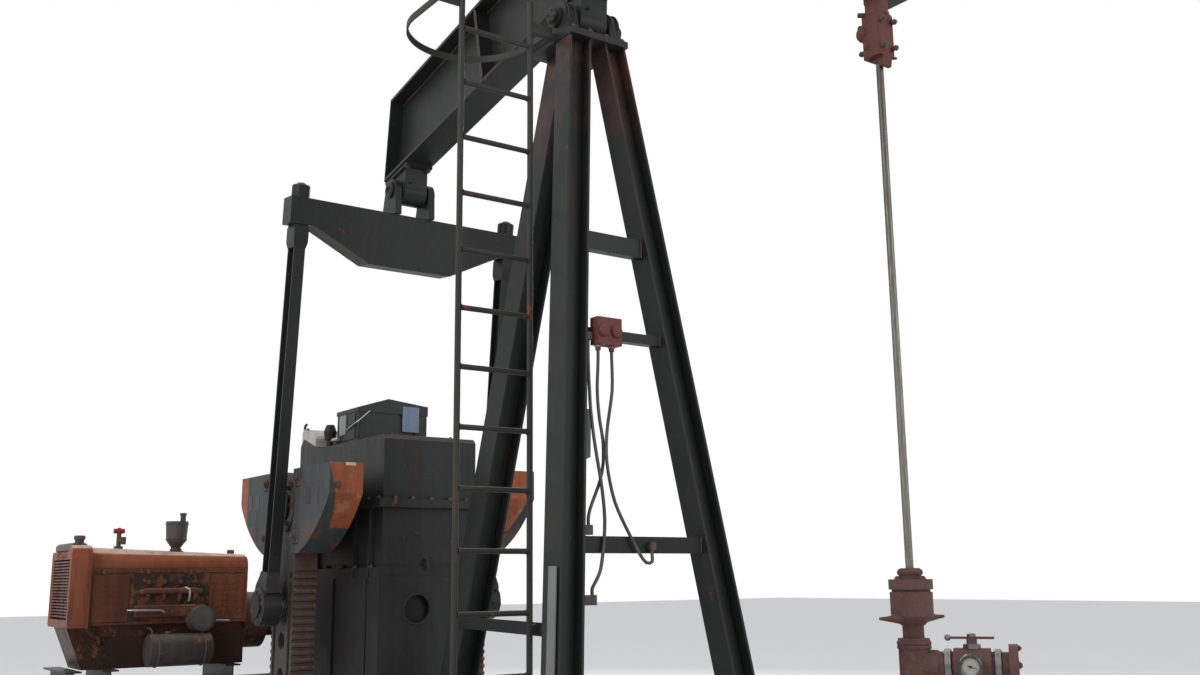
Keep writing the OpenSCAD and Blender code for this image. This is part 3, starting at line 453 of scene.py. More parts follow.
def rod_finish():
    """Polished rod with a painted reflection: lighter just above the packing, darker higher up;
    filmed in patches.
    """
    f = Finish("rod_steel")
    lines = f.noise(30, 5, 0.6, stretch=(9, 9, 0.4))
    film = f.noise(3, 5, 0.6, stretch=(4, 4, 1.2))
    tone = f.mix((0.23, 0.22, 0.20), (0.11, 0.10, 0.09), lines.above(0.35, 0.3))
    # Painted reflection: the rod darkens with height.
    tone = f.mix(tone, (0.045, 0.041, 0.038), f.z.above(2.0, 1.6) * 0.75)
    tone = f.mix(tone, (0.10, 0.068, 0.048), film.above(0.52, 0.16) * 0.4)
    f.set("Base Color", tone)
    f.set("Metallic", 0.7)
    f.set("Roughness", lines * 0.3 + film.above(0.52, 0.16) * 0.2 + 0.24)
    f.set("Specular IOR Level", 0.2)
    f.bump(lines, 0.0005, 0.2)


def rope_finish():
    """Greased wire rope."""
    f = Finish("wire_rope")
    fine = f.noise(120, 4, 0.6)
    broad = f.noise(6, 4, 0.6)
    tone = f.mix((0.20, 0.19, 0.175), (0.045, 0.038, 0.032), broad.above(0.35, 0.25))
    tone = f.mix(tone, RUST_DARK, fine.above(0.56, 0.1) * 0.6)
    f.set("Base Color", tone)
    f.set("Metallic", 0.75)
    f.set("Roughness", fine * 0.3 + 0.3)
    f.bump(fine, 0.0006, 0.6)


def plain_enamel(name, colour):
    """Even enamel of the gauge and of the dark slots."""
    f = Finish(name)
    fine = f.noise(90, 4, 0.6)
    f.set("Base Color", f.mix(shade(colour, 0.85), shade(colour, 1.08), fine))
    f.set("Roughness", fine * 0.15 + 0.28)
    f.set("Specular IOR Level", 0.2)


rod_finish()
rope_finish()
plain_enamel("dial_white", (0.29, 0.275, 0.245))
plain_enamel("dial_black", (0.015, 0.015, 0.015))
worn_paint("engine_inside", (0.030, 0.020, 0.016), rust=0.54, rough=0.6, grime=0.8, dust=0.1,
           shift=41)
worn_paint("valve_red", (0.24, 0.022, 0.030), rust=0.64, rough=0.5, grime=0.3, shift=44)

for part in frame["record"]["subparts"]:
    materials = NODES[part["node"]].data.materials
    materials.clear()
    materials.append(FINISHES[part["material_slot"]])


# Shapes


def side_axes(direction):
    """Two unit vectors square to a direction."""
    along = direction.normalized()
    first = along.orthogonal().normalized()
    return first, along.cross(first)


def circle(middle, u, v, radius, count, start=0.0):
    """Points round a circle in the plane of u and v."""
    angles = [start + TURN * k / count for k in range(count)]
    return [middle + radius * (u * math.cos(a) + v * math.sin(a)) for a in angles]


class Piece:
    """Closed solids gathered into one mesh, which rides on a body."""

    def __init__(self, name, body, finish, smooth=True):
        self.name = name
        self.body = body
        self.finish = finish
        self.smooth = smooth
        self.points = []
        self.faces = []

    def loft(self, rings):
        """Skin over rings of as many points each, with both ends closed."""
        start = len(self.points)
        count = len(rings[0])
        for ring in rings:
            self.points.extend(Vector(p) for p in ring)
        for i in range(len(rings) - 1):
            for k in range(count):
                m = (k + 1) % count
                a = start + i * count
                b = a + count
                self.faces.append((a + k, a + m, b + m, b + k))
        last = start + (len(rings) - 1) * count
        self.faces.append(tuple(start + k for k in reversed(range(count))))
        self.faces.append(tuple(last + k for k in range(count)))
        return self

    def turned(self, centre, axis, profile, sides=28):
        """Body of revolution; profile holds (distance along the axis, radius)."""
        axis = axis.normalized()
        u, v = side_axes(axis)
        return self.loft([circle(centre + axis * distance, u, v, max(radius, THINNEST), sides)
                          for distance, radius in profile])

    def bar(self, a, b, radius, end_radius=None, sides=20, chamfer=0.0):
        """Straight round bar, which may taper and have chamfered ends."""
        a, b = Vector(a), Vector(b)
        length = (b - a).length
        end_radius = radius if end_radius is None else end_radius
        if chamfer:
            profile = [(0, radius - chamfer), (chamfer, radius), (length - chamfer, end_radius),
                       (length, end_radius - chamfer)]
        else:
            profile = [(0, radius), (length, end_radius)]
        return self.turned(a, b - a, profile, sides)

    def tube(self, path, radius, sides=12):
        """Round bar along a path."""
        path = [Vector(p) for p in path]
        rings = []
        u = side_axes(path[1] - path[0])[0]
        for i, point in enumerate(path):
            along = (path[min(i + 1, len(path) - 1)] - path[max(i - 1, 0)]).normalized()
            u = (u - along * u.dot(along)).normalized()
            rings.append(circle(point, u, along.cross(u), radius, sides))
        return self.loft(rings)

    def block(self, a, b, chamfer=0.004):
        """Box between two opposite corners, with its upright edges and rims chamfered."""
        low = Vector([min(pair) for pair in zip(a, b)])
        high = Vector([max(pair) for pair in zip(a, b)])
        c = min(chamfer, min(high - low) * 0.45)
        rings = []
        for z, inset in ((low.z, c), (low.z + c, 0), (high.z - c, 0), (high.z, c)):
            x0, x1 = low.x + inset, high.x - inset
            y0, y1 = low.y + inset, high.y - inset
            rings.append([(x0 + c, y0, z), (x1 - c, y0, z), (x1, y0 + c, z), (x1, y1 - c, z),
                          (x1 - c, y1, z), (x0 + c, y1, z), (x0, y1 - c, z), (x0, y0 + c, z)])
        return self.loft(rings)

    def ball(self, centre, radius, axis=Z, steps=9, sides=20):
        profile = []
        for i in range(steps + 1):
            angle = math.pi * i / steps - math.pi / 2
            profile.append((radius * math.sin(angle), radius * math.cos(angle)))
        return self.turned(Vector(centre), axis, profile, sides)

    def ring(self, centre, axis, radius, thick, arc=1.0, start=0.0, steps=36, sides=10):
        """Round bar bent to a circle or a part of one."""
        u, v = side_axes(axis)
        path = [Vector(centre) + radius * (u * math.cos(start + TURN * arc * i / steps)
                                           + v * math.sin(start + TURN * arc * i / steps))
                for i in range(steps + 1)]
        if arc < 1:
            return self.tube(path, thick, sides)
        begin = len(self.points)
        for i in range(steps):
            out = (path[i] - Vector(centre)).normalized()
            self.points.extend(circle(path[i], out, axis.normalized(), thick, sides))
        for i in range(steps):
            for k in range(sides):
                m = (k + 1) % sides
                a = begin + i * sides
                b = begin + (i + 1) % steps * sides
                self.faces.append((a + k, b + k, b + m, a + m))
        return self

    def made(self):
        """The gathered solids as an object."""
        mesh = bpy.data.meshes.new(self.name)
        mesh.from_pydata([tuple(p) for p in self.points], [], self.faces)
        made = bpy.data.objects.new(self.name, mesh)
        bpy.context.scene.collection.objects.link(made)
        fix_normals(mesh)
        if self.smooth:
            mesh.shade_smooth()
            mesh.set_sharp_from_angle(angle=math.radians(35))
        mesh.materials.append(FINISHES[self.finish])
        return made

    def done(self, slot=None, replaces=()):
        return place_piece(self.made(), self.body, self.finish, slot, replaces)


SLOT_NAMES = {m["slot"] for m in frame["record"]["materials"]}


def place_piece(made, body, finish, slot=None, replaces=()):
    """Sets the body of a finished object and hides the nodes it replaces."""
    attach(made, body)
    slot = slot or (finish if finish in SLOT_NAMES else "structure_paint")
    if replaces:
        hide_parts(*replaces)
    return made


def fix_normals(mesh):
    work = bmesh.new()
    work.from_mesh(mesh)
    bmesh.ops.recalc_face_normals(work, faces=work.faces)
    work.to_mesh(mesh)
    work.free()


# Bolts and rows, by geometry nodes


def new_tree(name, sizes):
    """Geometry node group with a mesh in and out and named number inputs."""
    tree = bpy.data.node_groups.new(name, "GeometryNodeTree")
    tree.interface.new_socket("Geometry", in_out="INPUT", socket_type="NodeSocketGeometry")
    for label, kind, value in sizes:
        socket = tree.interface.new_socket(label, in_out="INPUT", socket_type=kind)
        if value is not None:
            socket.default_value = value
    tree.interface.new_socket("Geometry", in_out="OUTPUT", socket_type="NodeSocketGeometry")
    return tree


def add(tree, kind, settings=None, links=None):
    """A node with its settings, fed by links from sockets or plain values."""
    made = tree.nodes.new(kind)
    for key, value in (settings or {}).items():
        setattr(made, key, value)
    for key, value in (links or {}).items():
        if isinstance(value, bpy.types.NodeSocket):
            tree.links.new(value, made.inputs[key])
        else:
            made.inputs[key].default_value = value
    return made


def bolt_tree():
    """Hexagon head on a washer, set on each point along its direction."""
    tree = new_tree("hexagon_bolts", [("Radius", "NodeSocketFloat", 0.012),
                                      ("Height", "NodeSocketFloat", 0.01),
                                      ("Finish", "NodeSocketMaterial", None)])
    given = add(tree, "NodeGroupInput")
    half = add(tree, "ShaderNodeMath", {"operation": "MULTIPLY"},
               {0: given.outputs["Height"], 1: 0.5})
    wide = add(tree, "ShaderNodeMath", {"operation": "MULTIPLY"},
               {0: given.outputs["Radius"], 1: 1.3})
    slim = add(tree, "ShaderNodeMath", {"operation": "MULTIPLY"},
               {0: given.outputs["Radius"], 1: 0.55})
    parts = []
    for sides, radius, depth, lift in ((6, given.outputs["Radius"], given.outputs["Height"], 0.65),
                                       (14, wide.outputs[0], half.outputs[0], 0.25),
                                       (12, slim.outputs[0], half.outputs[0], 1.35)):
        body = add(tree, "GeometryNodeMeshCylinder", None,
                   {"Vertices": sides, "Radius": radius, "Depth": depth})
        rise = add(tree, "ShaderNodeMath", {"operation": "MULTIPLY"},
                   {0: given.outputs["Height"], 1: lift})
        place = add(tree, "ShaderNodeCombineXYZ", None, {"Z": rise.outputs[0]})
        parts.append(add(tree, "GeometryNodeTransform", None,
                         {"Geometry": body.outputs["Mesh"], "Translation": place.outputs[0]}))
    joined = add(tree, "GeometryNodeJoinGeometry")
    for part in parts:
        tree.links.new(part.outputs[0], joined.inputs[0])
    facing = add(tree, "GeometryNodeInputNamedAttribute", {"data_type": "FLOAT_VECTOR"},
                 {"Name": "facing"})
    turn = add(tree, "FunctionNodeAlignRotationToVector", {"axis": "Z"},
               {"Vector": facing.outputs["Attribute"]})
    placed = add(tree, "GeometryNodeInstanceOnPoints", None,
                 {"Points": given.outputs["Geometry"], "Instance": joined.outputs[0],
                  "Rotation": turn.outputs[0]})
    real = add(tree, "GeometryNodeRealizeInstances", None, {"Geometry": placed.outputs[0]})
    orange_above_shade = add(tree, "GeometryNodeSetMaterial", None,
                  {"Geometry": real.outputs[0], "Material": given.outputs["Finish"]})
    add(tree, "NodeGroupOutput", None, {"Geometry": orange_above_shade.outputs[0]})
    return tree


def row_tree():
    """Blocks of one size in an even row from each point."""
    tree = new_tree("block_row", [("Size", "NodeSocketVector", (0.1, 0.1, 0.01)),
                                  ("Step", "NodeSocketVector", (0, 0, 0.05)),
                                  ("Count", "NodeSocketInt", 5),
                                  ("Finish", "NodeSocketMaterial", None)])
    given = add(tree, "NodeGroupInput")
    line = add(tree, "GeometryNodeMeshLine", {"mode": "OFFSET"},
               {"Count": given.outputs["Count"], "Offset": given.outputs["Step"]})
    rows = add(tree, "GeometryNodeInstanceOnPoints", None,
               {"Points": given.outputs["Geometry"], "Instance": line.outputs[0]})
    spots = add(tree, "GeometryNodeRealizeInstances", None, {"Geometry": rows.outputs[0]})
    block = add(tree, "GeometryNodeMeshCube", None, {"Size": given.outputs["Size"]})
    placed = add(tree, "GeometryNodeInstanceOnPoints", None,
                 {"Points": spots.outputs[0], "Instance": block.outputs["Mesh"]})
    real = add(tree, "GeometryNodeRealizeInstances", None, {"Geometry": placed.outputs[0]})
    orange_above_shade = add(tree, "GeometryNodeSetMaterial", None,
                  {"Geometry": real.outputs[0], "Material": given.outputs["Finish"]})
    add(tree, "NodeGroupOutput", None, {"Geometry": orange_above_shade.outputs[0]})
    return tree


BOLTS = bolt_tree()
ROWS = row_tree()


def grow(name, body, finish, tree, points, sizes, facing=None, slot=None):
    """Runs a tree on points and makes its result a plain mesh piece."""
    seed = bpy.data.meshes.new(name + "_points")
    seed.from_pydata([tuple(p) for p in points], [], [])
    if facing:
        layer = seed.attributes.new("facing", "FLOAT_VECTOR", "POINT")
        layer.data.foreach_set("vector", [part for d in facing for part in d])
    holder = bpy.data.objects.new(name + "_points", seed)
    bpy.context.scene.collection.objects.link(holder)
    modifier = holder.modifiers.new("grow", "NODES")
    modifier.node_group = tree
    sizes = dict(sizes, Finish=FINISHES[finish])
    for socket in tree.interface.items_tree:
        if socket.in_out == "INPUT" and socket.name in sizes:
            modifier[socket.identifier] = sizes[socket.name]
    view = bpy.context.evaluated_depsgraph_get()
    mesh = bpy.data.meshes.new_from_object(holder.evaluated_get(view))
    mesh.name = name
    holder.modifiers.clear()
    bpy.data.objects.remove(holder)
    made = bpy.data.objects.new(name, mesh)
    bpy.context.scene.collection.objects.link(made)
    return place_piece(made, body, finish, slot)


def bolts(name, body, places, radius=0.014, height=0.012, finish="bolt_iron",
          slot="structure_paint"):
    """Bolts at (point, direction) places."""
    return grow(name, body, finish, BOLTS, [p for p, d in places],
                {"Radius": radius, "Height": height}, [d for p, d in places], slot)


def row(name, body, finish, starts, step, count, size):
    """Even rows of blocks, each row from one start."""
    return grow(name, body, finish, ROWS, starts, {"Size": size, "Step": step, "Count": count})


def circle_places(centre, axis, radius, count, start=0.0):
    """Bolt places on a circle."""
    u, v = side_axes(axis)
    return [(point, axis) for point in circle(Vector(centre), u, v, radius, count, start)]


# Post, skid and ladder

# A front leg's axis at its foot and at its head, and the foot of the rear leg
LEG_X = (0.654, 0.0666)
LEG_Y = (RAIL_Y, 0.1229)
REAR_FOOT = Vector((-1.65, 0, FOOT_TOP))
# Underside and depth of the braces between the front legs
BRACES = ((3.38, 0.105), (2.865, 0.055), (1.72, 0.085))
CROSS_BEAMS = (-5.09, -4.49, -3.2, -1.9, REAR_FOOT.x, 0, LEG_X[0])
# No rung lies above this height
RUNG_LIMIT = 4.8
CAP_BOLT_Y = 0.178
SADDLE_END = 0.246
STRAP_R = 0.099


def leg_point(z, side=-1):
    """Axis of a front leg at height z; side is -1 for the near one."""
    t = (z - FOOT_TOP) / (LEG_TOP - FOOT_TOP)
    x = LEG_X[0] + (LEG_X[1] - LEG_X[0]) * t
    y = LEG_Y[0] + (LEG_Y[1] - LEG_Y[0]) * t
    return Vector((x, side * y, z))


def weld(piece, a, b, radius=0.006):
    """Uneven weld bead from a to b."""
    a, b = Vector(a), Vector(b)
    steps = max(3, int((b - a).length / WELD_STEP))
    u, v = side_axes(b - a)
    rings = []
    for i in range(steps + 1):
        size = radius * random.uniform(0.75, 1.15)
        rings.append(circle(a.lerp(b, i / steps), u, v, size, 6))
    piece.loft(rings)


def feet_and_anchors():
    places = []
    for side in (-1, 1):
        foot = leg_point(FOOT_TOP, side)
        for dx in (-0.05, 0.05):
            for dy in (-0.04, 0.04):
                places.append((foot + Vector((dx, dy, 0)), Z))
    for dx in (-0.055, 0.055):
        for dy in (-0.045, 0.045):
            places.append((REAR_FOOT + Vector((dx, dy, 0)), Z))
    bolts("foot_bolts", "frame", places, 0.013, 0.012)
    anchors = [(Vector((x, side * RAIL_Y + off, 0.018)), Z)
               for x in (-5.22, 0.92) for side in (-1, 1) for off in (-0.065, 0.065)]
    bolts("anchor_nuts", "frame", anchors, 0.024, 0.024)
    beads = Piece("post_welds", "frame", "bolt_iron")
    for side in (-1, 1):
        foot = leg_point(FOOT_TOP, side)
        for dy in (-0.077, 0.077):
            weld(beads, foot + Vector((-0.073, dy, 0.003)), foot + Vector((0.073, dy, 0.003)))
        for z, high in BRACES:
            x = leg_point(z).x + 0.031
            y = side * (abs(leg_point(z + high, side).y) - 0.0765)
            weld(beads, (x, y, z + high), (x, y, z), 0.004)
    for dy in (-0.089, 0.089):
        weld(beads, (-1.72, dy, FOOT_TOP), (-1.58, dy, FOOT_TOP))
    z = CAP_TOP + 0.002
    for side in (-1, 1):
        for x in (-0.122, 0.122):
            weld(beads, (x, side * 0.117, z), (x, side * 0.193, z))
        weld(beads, (-0.118, side * 0.196, z), (0.118, side * 0.196, z))
    beads.done("structure_paint")


def post_cap():
    corners = [(x, CAP_BOLT_Y) for x in (-0.26, -0.165, 0.142)] + [(0.142, 0.06), (-0.26, 0.06)]
    places = [(Vector((x, side * y, CAP_TOP)), Z) for side in (-1, 1) for x, y in corners]
    bolts("cap_bolts", "frame", places, 0.014, 0.013)
    straps = Piece("saddle_straps", "frame", "structure_paint")
    for side in (-1, 1):
        for y in (0.132, CAP_BOLT_Y):
            path = [Vector((STRAP_R * math.cos(a), side * y, PIVOT_Z + STRAP_R * math.sin(a)))
                    for a in (math.pi * i / 20 for i in range(21))]
            straps.tube([Vector((STRAP_R, side * y, PIVOT_Z - 0.07)), *path,
                         Vector((-STRAP_R, side * y, PIVOT_Z - 0.07))], 0.008)
        end = Vector((0, side * SADDLE_END, PIVOT_Z))
        straps.bar(end - side * Y * 0.013, end, 0.052, chamfer=0.004)
    straps.done()
    ends = []
    for side in (-1, 1):
        ends += circle_places((0, side * SADDLE_END, PIVOT_Z), side * Y, 0.034, 4, 0.5)
    bolts("saddle_end_bolts", "frame", ends, 0.008, 0.006)


def skid_details():
    beads = Piece("skid_welds", "frame", "bolt_iron")
    for x in CROSS_BEAMS:
        for side in (-1, 1):
            for dx in (-0.092, 0.092):
                weld(beads, (x + dx, side * 0.47, 0.301), (x + dx, side * 0.544, 0.301), 0.005)
    beads.done("structure_paint")
    ends = Piece("skid_end_caps", "frame", "structure_paint", smooth=False)
    for x0, x1 in ((-5.298, -5.286), (0.986, 0.998)):
        for side in (-1, 1):
            for y in (-0.053, 0.053):
                mid = side * RAIL_Y + y
                ends.block((x0, mid - 0.043, 0.02), (x1, mid + 0.043, 0.28), 0.002)
    ends.done()


def ladder_details():
    beads = Piece("ladder_welds", "frame", "ladder_steel")
    z = SKID_H + 0.16
    while z < RUNG_LIMIT:
        for side in (-1, 1):
            y = LADDER_Y + side * (LADDER_HALF - 0.017)
            beads.ring((0, y, z), Y, 0.0155, 0.004, steps=14, sides=6)
        z += RUNG_STEP
    for side in (-1, 1):
        y = LADDER_Y + side * LADDER_HALF
        beads.bar((0, y, 4.898), (0, y, 4.904), 0.0165, 0.010)
    beads.done()
    foot = [(Vector((x, LADDER_Y + y, 0.314)), Z) for x in (-0.026, 0.026) for y in (-0.06, 0.1)]
    bolts("ladder_foot_bolts", "frame", foot, 0.009, 0.008)


feet_and_anchors()
post_cap()
skid_details()
ladder_details()


# Walking beam, horse head and bridle


def beam_details():
    under = -1 * BEAM_Z
    places = []
    for u0, reach in ((0, 0.16), (-TAIL_ARM, 0.15)):
        for u in (-reach, reach):
            for y in (-0.085, 0.085):
                places.append((at_beam(u0 + u, y, 0.14), under))
                places.append((at_beam(u0 + u, y, 0.192), BEAM_Z))
    for y in (-0.1, 0, 0.1):
        for w in (0.132, 0.808):
            places.append((at_beam(1.78, y, w), -1 * BEAM_X))
    bolts("beam_bolts", "beam", places, 0.015, 0.013)
    beads = Piece("beam_welds", "beam", "bolt_iron")
    for side in (-1, 1):
        for w in (0.196, 0.744):
            weld(beads, at_beam(-2.38, side * 0.012, w), at_beam(1.775, side * 0.012, w))
        for rib in (-1, 0, 1):
            for u in (rib - 0.009, rib + 0.009):
                weld(beads, at_beam(u, side * 0.112, 0.21), at_beam(u, side * 0.112, 0.73), 0.004)
        for w in (0.2, 0.74):
            weld(beads, at_beam(1.778, side * 0.02, w), at_beam(1.778, side * 0.11, w))
    beads.done("structure_paint")
    tail = Piece("beam_end_plate", "beam", "structure_paint", smooth=False)
    section = [(-2.4605, 0.169), (-2.4725, 0.169), (-2.2725, 0.771), (-2.2605, 0.771)]
    tail.loft([[at_beam(u, y, w) for u, w in section] for y in (-0.1145, 0.1145)])
    tail.done()
    caps = Piece("bearing_caps", "beam", "machine_paint")
    for u, radius, wide in ((0, 0.078, 0.095), (-TAIL_ARM, 0.07, 0.09)):
        for side in (-1, 1):
            caps.turned(at_beam(u, side * wide, 0), side * Y,
                        [(-0.002, radius + 0.02), (0.004, radius + 0.02), (0.007, radius + 0.012),
                         (0.009, radius - 0.002), (0.009, radius - 0.012)])
    for u in (0.07, -TAIL_ARM + 0.065):
        caps.bar(at_beam(u, -0.03, 0.03), at_beam(u + 0.06, -0.05, 0.03), 0.006)
        caps.ball(at_beam(u + 0.063, -0.051, 0.03), 0.009)
    caps.done()


def head_point(angle, y, radius):
    """Point on the arc of the horse head, angle up from the beam line."""
    return at_beam(radius * math.cos(angle), y, radius * math.sin(angle))


ARC_LOW = -REST_TILT
ARC_HIGH = math.radians(37) - REST_TILT


def head_details():
    guides = Piece("rope_guides", "beam", "structure_paint")
    radius = FRONT_ARM - WIRE_R - 0.0005
    steps = 48
    for y in (-0.129, -0.061, 0.061, 0.129):
        path = [head_point(ARC_LOW - 0.05 + (ARC_HIGH - ARC_LOW + 0.1) * i / steps, y, radius)
                for i in range(steps + 1)]
        guides.tube(path, 0.0075, 8)
    for side in (-1, 1):
        inner, outer = sorted((side * 0.052, side * 0.138))
        rings = []
        for i in range(3):
            p = head_point(ARC_HIGH + 0.004 + i * 0.012, 0, radius + 0.006)
            out = (p - Vector((0, 0, PIVOT_Z))).normalized()
            low, high = p - out * 0.012, p + out * 0.02
            rings.append([low + Y * inner, low + Y * outer, high + Y * outer, high + Y * inner])
        guides.loft(rings)
    guides.done()
    clamps = []
    for side in (-1, 1):
        for y in (0.068, 0.122):
            p = head_point(ARC_HIGH + 0.016, side * y, radius + 0.026)
            clamps.append((p, (p - Vector((0, side * y, PIVOT_Z))).normalized()))
    bolts("rope_clamp_bolts", "beam", clamps, 0.009, 0.008)
    seams = Piece("head_welds", "beam", "bolt_iron")
    corners = [(1.806, 0.115), (1.806, 0.82), (1.835, 1.095), (1.93, 1.108)]
    lower = [(1.806, 0.112), (2.085, -0.548)]
    for side in (-1, 1):
        y = side * 0.1455
        for line in (corners, lower):
            for (u0, w0), (u1, w1) in zip(line, line[1:]):
                weld(seams, at_beam(u0, y, w0), at_beam(u1, y, w1), 0.005)
    seams.done("structure_paint")
    hinge = Piece("head_pins", "beam", "bare_steel")
    for w in (0.135, 0.805):
        hinge.bar(at_beam(1.83, -0.152, w), at_beam(1.83, 0.152, w), 0.02, chamfer=0.003)
    hinge.done("structure_paint")


def strand_path(middle, across, third, lead, phase, core):
    """Helix round a line given as a list of (point, distance along it)."""
    turned = []
    for i, (point, run) in enumerate(middle):
        angle = TURN * run / lead + phase
        turned.append(point + core * (across[i] * math.cos(angle) + third[i] * math.sin(angle)))
    return turned


def rope(piece, points, radius=WIRE_R, strands=6, lead=0.115):
    """Wire rope of twisted strands along a path."""
    run = 0.0
    middle = []
    across = []
    third = []
    for i, point in enumerate(points):
        if i:
            run += (point - points[i - 1]).length
        along = (points[min(i + 1, len(points) - 1)] - points[max(i - 1, 0)]).normalized()
        side = (Y - along * Y.dot(along)).normalized()
        middle.append((point, run))
        across.append(side)
        third.append(along.cross(side))
    strand = radius * 0.36
    for k in range(strands):
        piece.tube(strand_path(middle, across, third, lead, TURN * k / strands, radius - strand),
                   strand, 6)
    piece.tube(points, radius * 0.42, 6)


def bridle():
    wrap = Piece("bridle_wires", "beam", "wire_rope")
    hang = Piece("bridle_run", "rod", "wire_rope")
    steps = 110
    low = BAR_Z + 0.17
    for side in (-1, 1):
        rope(wrap, [head_point(ARC_LOW + (ARC_HIGH - ARC_LOW) * i / steps, side * WIRE_Y, FRONT_ARM)
                    for i in range(steps + 1)])
        rope(hang, [Vector((FRONT_ARM, side * WIRE_Y, PIVOT_Z + (low - PIVOT_Z) * i / 44))
                    for i in range(45)])
    wrap.done(replaces=["bridle_wrap"])
    made = hang.made()
    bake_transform(made)
    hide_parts("bridle_hang")


def carrier_details():
    sockets = Piece("rope_sockets", "rod", "bare_steel")
    for side in (-1, 1):
        sockets.turned(Vector((FRONT_ARM, side * WIRE_Y, BAR_Z + 0.11)), Z,
                       [(0, 0.041), (0.012, 0.041), (0.014, 0.036), (0.10, 0.026), (0.13, 0.020),
                        (0.134, 0.016)])
        y = side * WIRE_Y
        for z in (BAR_Z + 0.03, BAR_Z + 0.08):
            sockets.bar((FRONT_ARM - 0.066, y, z), (FRONT_ARM + 0.066, y, z), 0.009, sides=12)
    sockets.done("structure_paint")
    grip = Piece("rod_grip", "rod", "oxide_red")
    for side in (-1, 1):
        x0, x1 = sorted((FRONT_ARM + side * 0.0165, FRONT_ARM + side * 0.05))
        grip.block((x0, -0.05, BAR_Z + 0.112), (x1, 0.05, BAR_Z + 0.2), 0.006)
    grip.done()
    places = [(Vector((FRONT_ARM + 0.05, y, z)), X) for y in (-0.033, 0.033)
              for z in (BAR_Z + 0.135, BAR_Z + 0.178)]
    for side in (-1, 1):
        places += [(Vector((FRONT_ARM + side * 0.064, y, CLAMP_Z + z)), side * X)
                   for y in (-0.036, 0.036) for z in (0.083, 0.205)]
    bolts("rod_grip_bolts", "rod", places, 0.010, 0.009, slot="oxide_red")
    lumps = Piece("clamp_lumps", "rod", "oxide_red")
    for x, y, z, size in ((-0.048, -0.03, 0.17, 0.038), (-0.048, 0.03, 0.17, 0.038),
                          (0.036, 0.016, 0.225, 0.026), (-0.022, -0.042, 0.10, 0.022),
                          (0.038, -0.026, 0.075, 0.020)):
        lumps.ball((FRONT_ARM + x, y, CLAMP_Z + z), size, axis=Y)
    for rise, radius in ((0.237, 0.055), (0.305, 0.054)):
        z = CLAMP_Z + rise
        lumps.bar((FRONT_ARM, 0, z), (FRONT_ARM, 0, z + 0.026), radius, chamfer=0.006)
    aside = Vector((0.589, 0.808, 0))
    for z, reach, radius in ((0.252, -0.084, 0.011), (0.048, 0.078, 0.006)):
        middle = Vector((FRONT_ARM, 0, CLAMP_Z + z))
        lumps.bar(middle + aside * reach * 0.5, middle + aside * reach, radius, chamfer=0.002)
    lumps.done()


beam_details()
head_details()
bridle()
carrier_details()


# Equalizer, pitmans, cranks and counterweights


def hanger_details():
    places = []
    for side in (-1, 1):
        for u in (-0.045, 0.045):
            for v in (-0.03, 0.03):
                places.append((at_tail(u, side * (PITMAN_Y + v), -0.185), HANG_Z))
    bolts("pitman_top_bolts", "hanger", places, 0.012, 0.010)
    blocks = Piece("pitman_heads", "hanger", "structure_paint")
    for side in (-1, 1):
        mid = side * PITMAN_Y
        blocks.turned(at_tail(0, mid, -0.185), HANG_Z,
                      [(0, 0.064), (0.088, 0.064), (0.095, 0.058), (0.1, 0.04), (0.112, 0.026),
                       (0.114, 0.018)])
        rings = []
        for w, half, deep in ((-0.37, 0.045, 0.066), (-0.40, 0.052, 0.072), (-0.50, 0.052, 0.070),
                              (-0.54, 0.042, 0.062)):
            rings.append([at_tail(u, mid + y, w)
                          for u, y in ((-deep, -half), (deep, -half), (deep, half), (-deep, half))])
        blocks.loft(rings)
    for y in (-0.135, 0.135):
        blocks.turned(at_tail(0, y - math.copysign(0.027, -y), 0), math.copysign(1, y) * Y,
                      [(0, 0.062), (0.012, 0.062), (0.016, 0.05), (0.018, 0.03)])
    blocks.done()
    seams = Piece("equalizer_welds", "hanger", "bolt_iron")
    for u in (-0.078, 0.078):
        for y0, y1 in ((-0.16, -0.11), (0.11, 0.16)):
            weld(seams, at_tail(u, y0, -0.184), at_tail(u, y1, -0.184), 0.006)
    for u in (-0.0765, 0.0765):
        for side in (-1, 1):
            weld(seams, at_tail(u, side * 0.33, -0.583), at_tail(u, side * 0.755, -0.376), 0.004)
    seams.done("structure_paint")


def wrist_details():
    caps = Piece("wrist_caps", "hanger", "machine_paint")
    places = []
    nuts = []
    for side in (-1, 1):
        out = side * Y
        centre = at_tail(0, side * 0.905, -PITMAN_L)
        caps.turned(centre, out, [(-0.004, 0.126), (0.010, 0.126), (0.014, 0.12), (0.014, 0.078)])
        caps.bar(centre + out * 0.028, centre + out * 0.03, 0.06, 0.055)
        caps.bar(at_tail(0.126, side * 0.848, -PITMAN_L), at_tail(0.142, side * 0.848, -PITMAN_L),
                 0.008, 0.005)
        rings = []
        for w, half, deep in ((0.10, 0.056, 0.105), (0.135, 0.056, 0.095), (0.19, 0.046, 0.070),
                              (0.23, 0.040, 0.062)):
            rings.append([at_tail(u, side * 0.8475 + y, w - PITMAN_L)
                          for u, y in ((-deep, -half), (deep, -half), (deep, half), (-deep, half))])
        caps.loft(rings)
        places += circle_places(centre + out * 0.014, out, 0.101, 8, 0.2)
        nuts += circle_places(centre + out * 0.03, out, 0.035, 3)
    caps.done()
    bolts("wrist_cap_bolts", "hanger", places, 0.010, 0.008)
    bolts("wrist_end_bolts", "hanger", nuts, 0.008, 0.003)


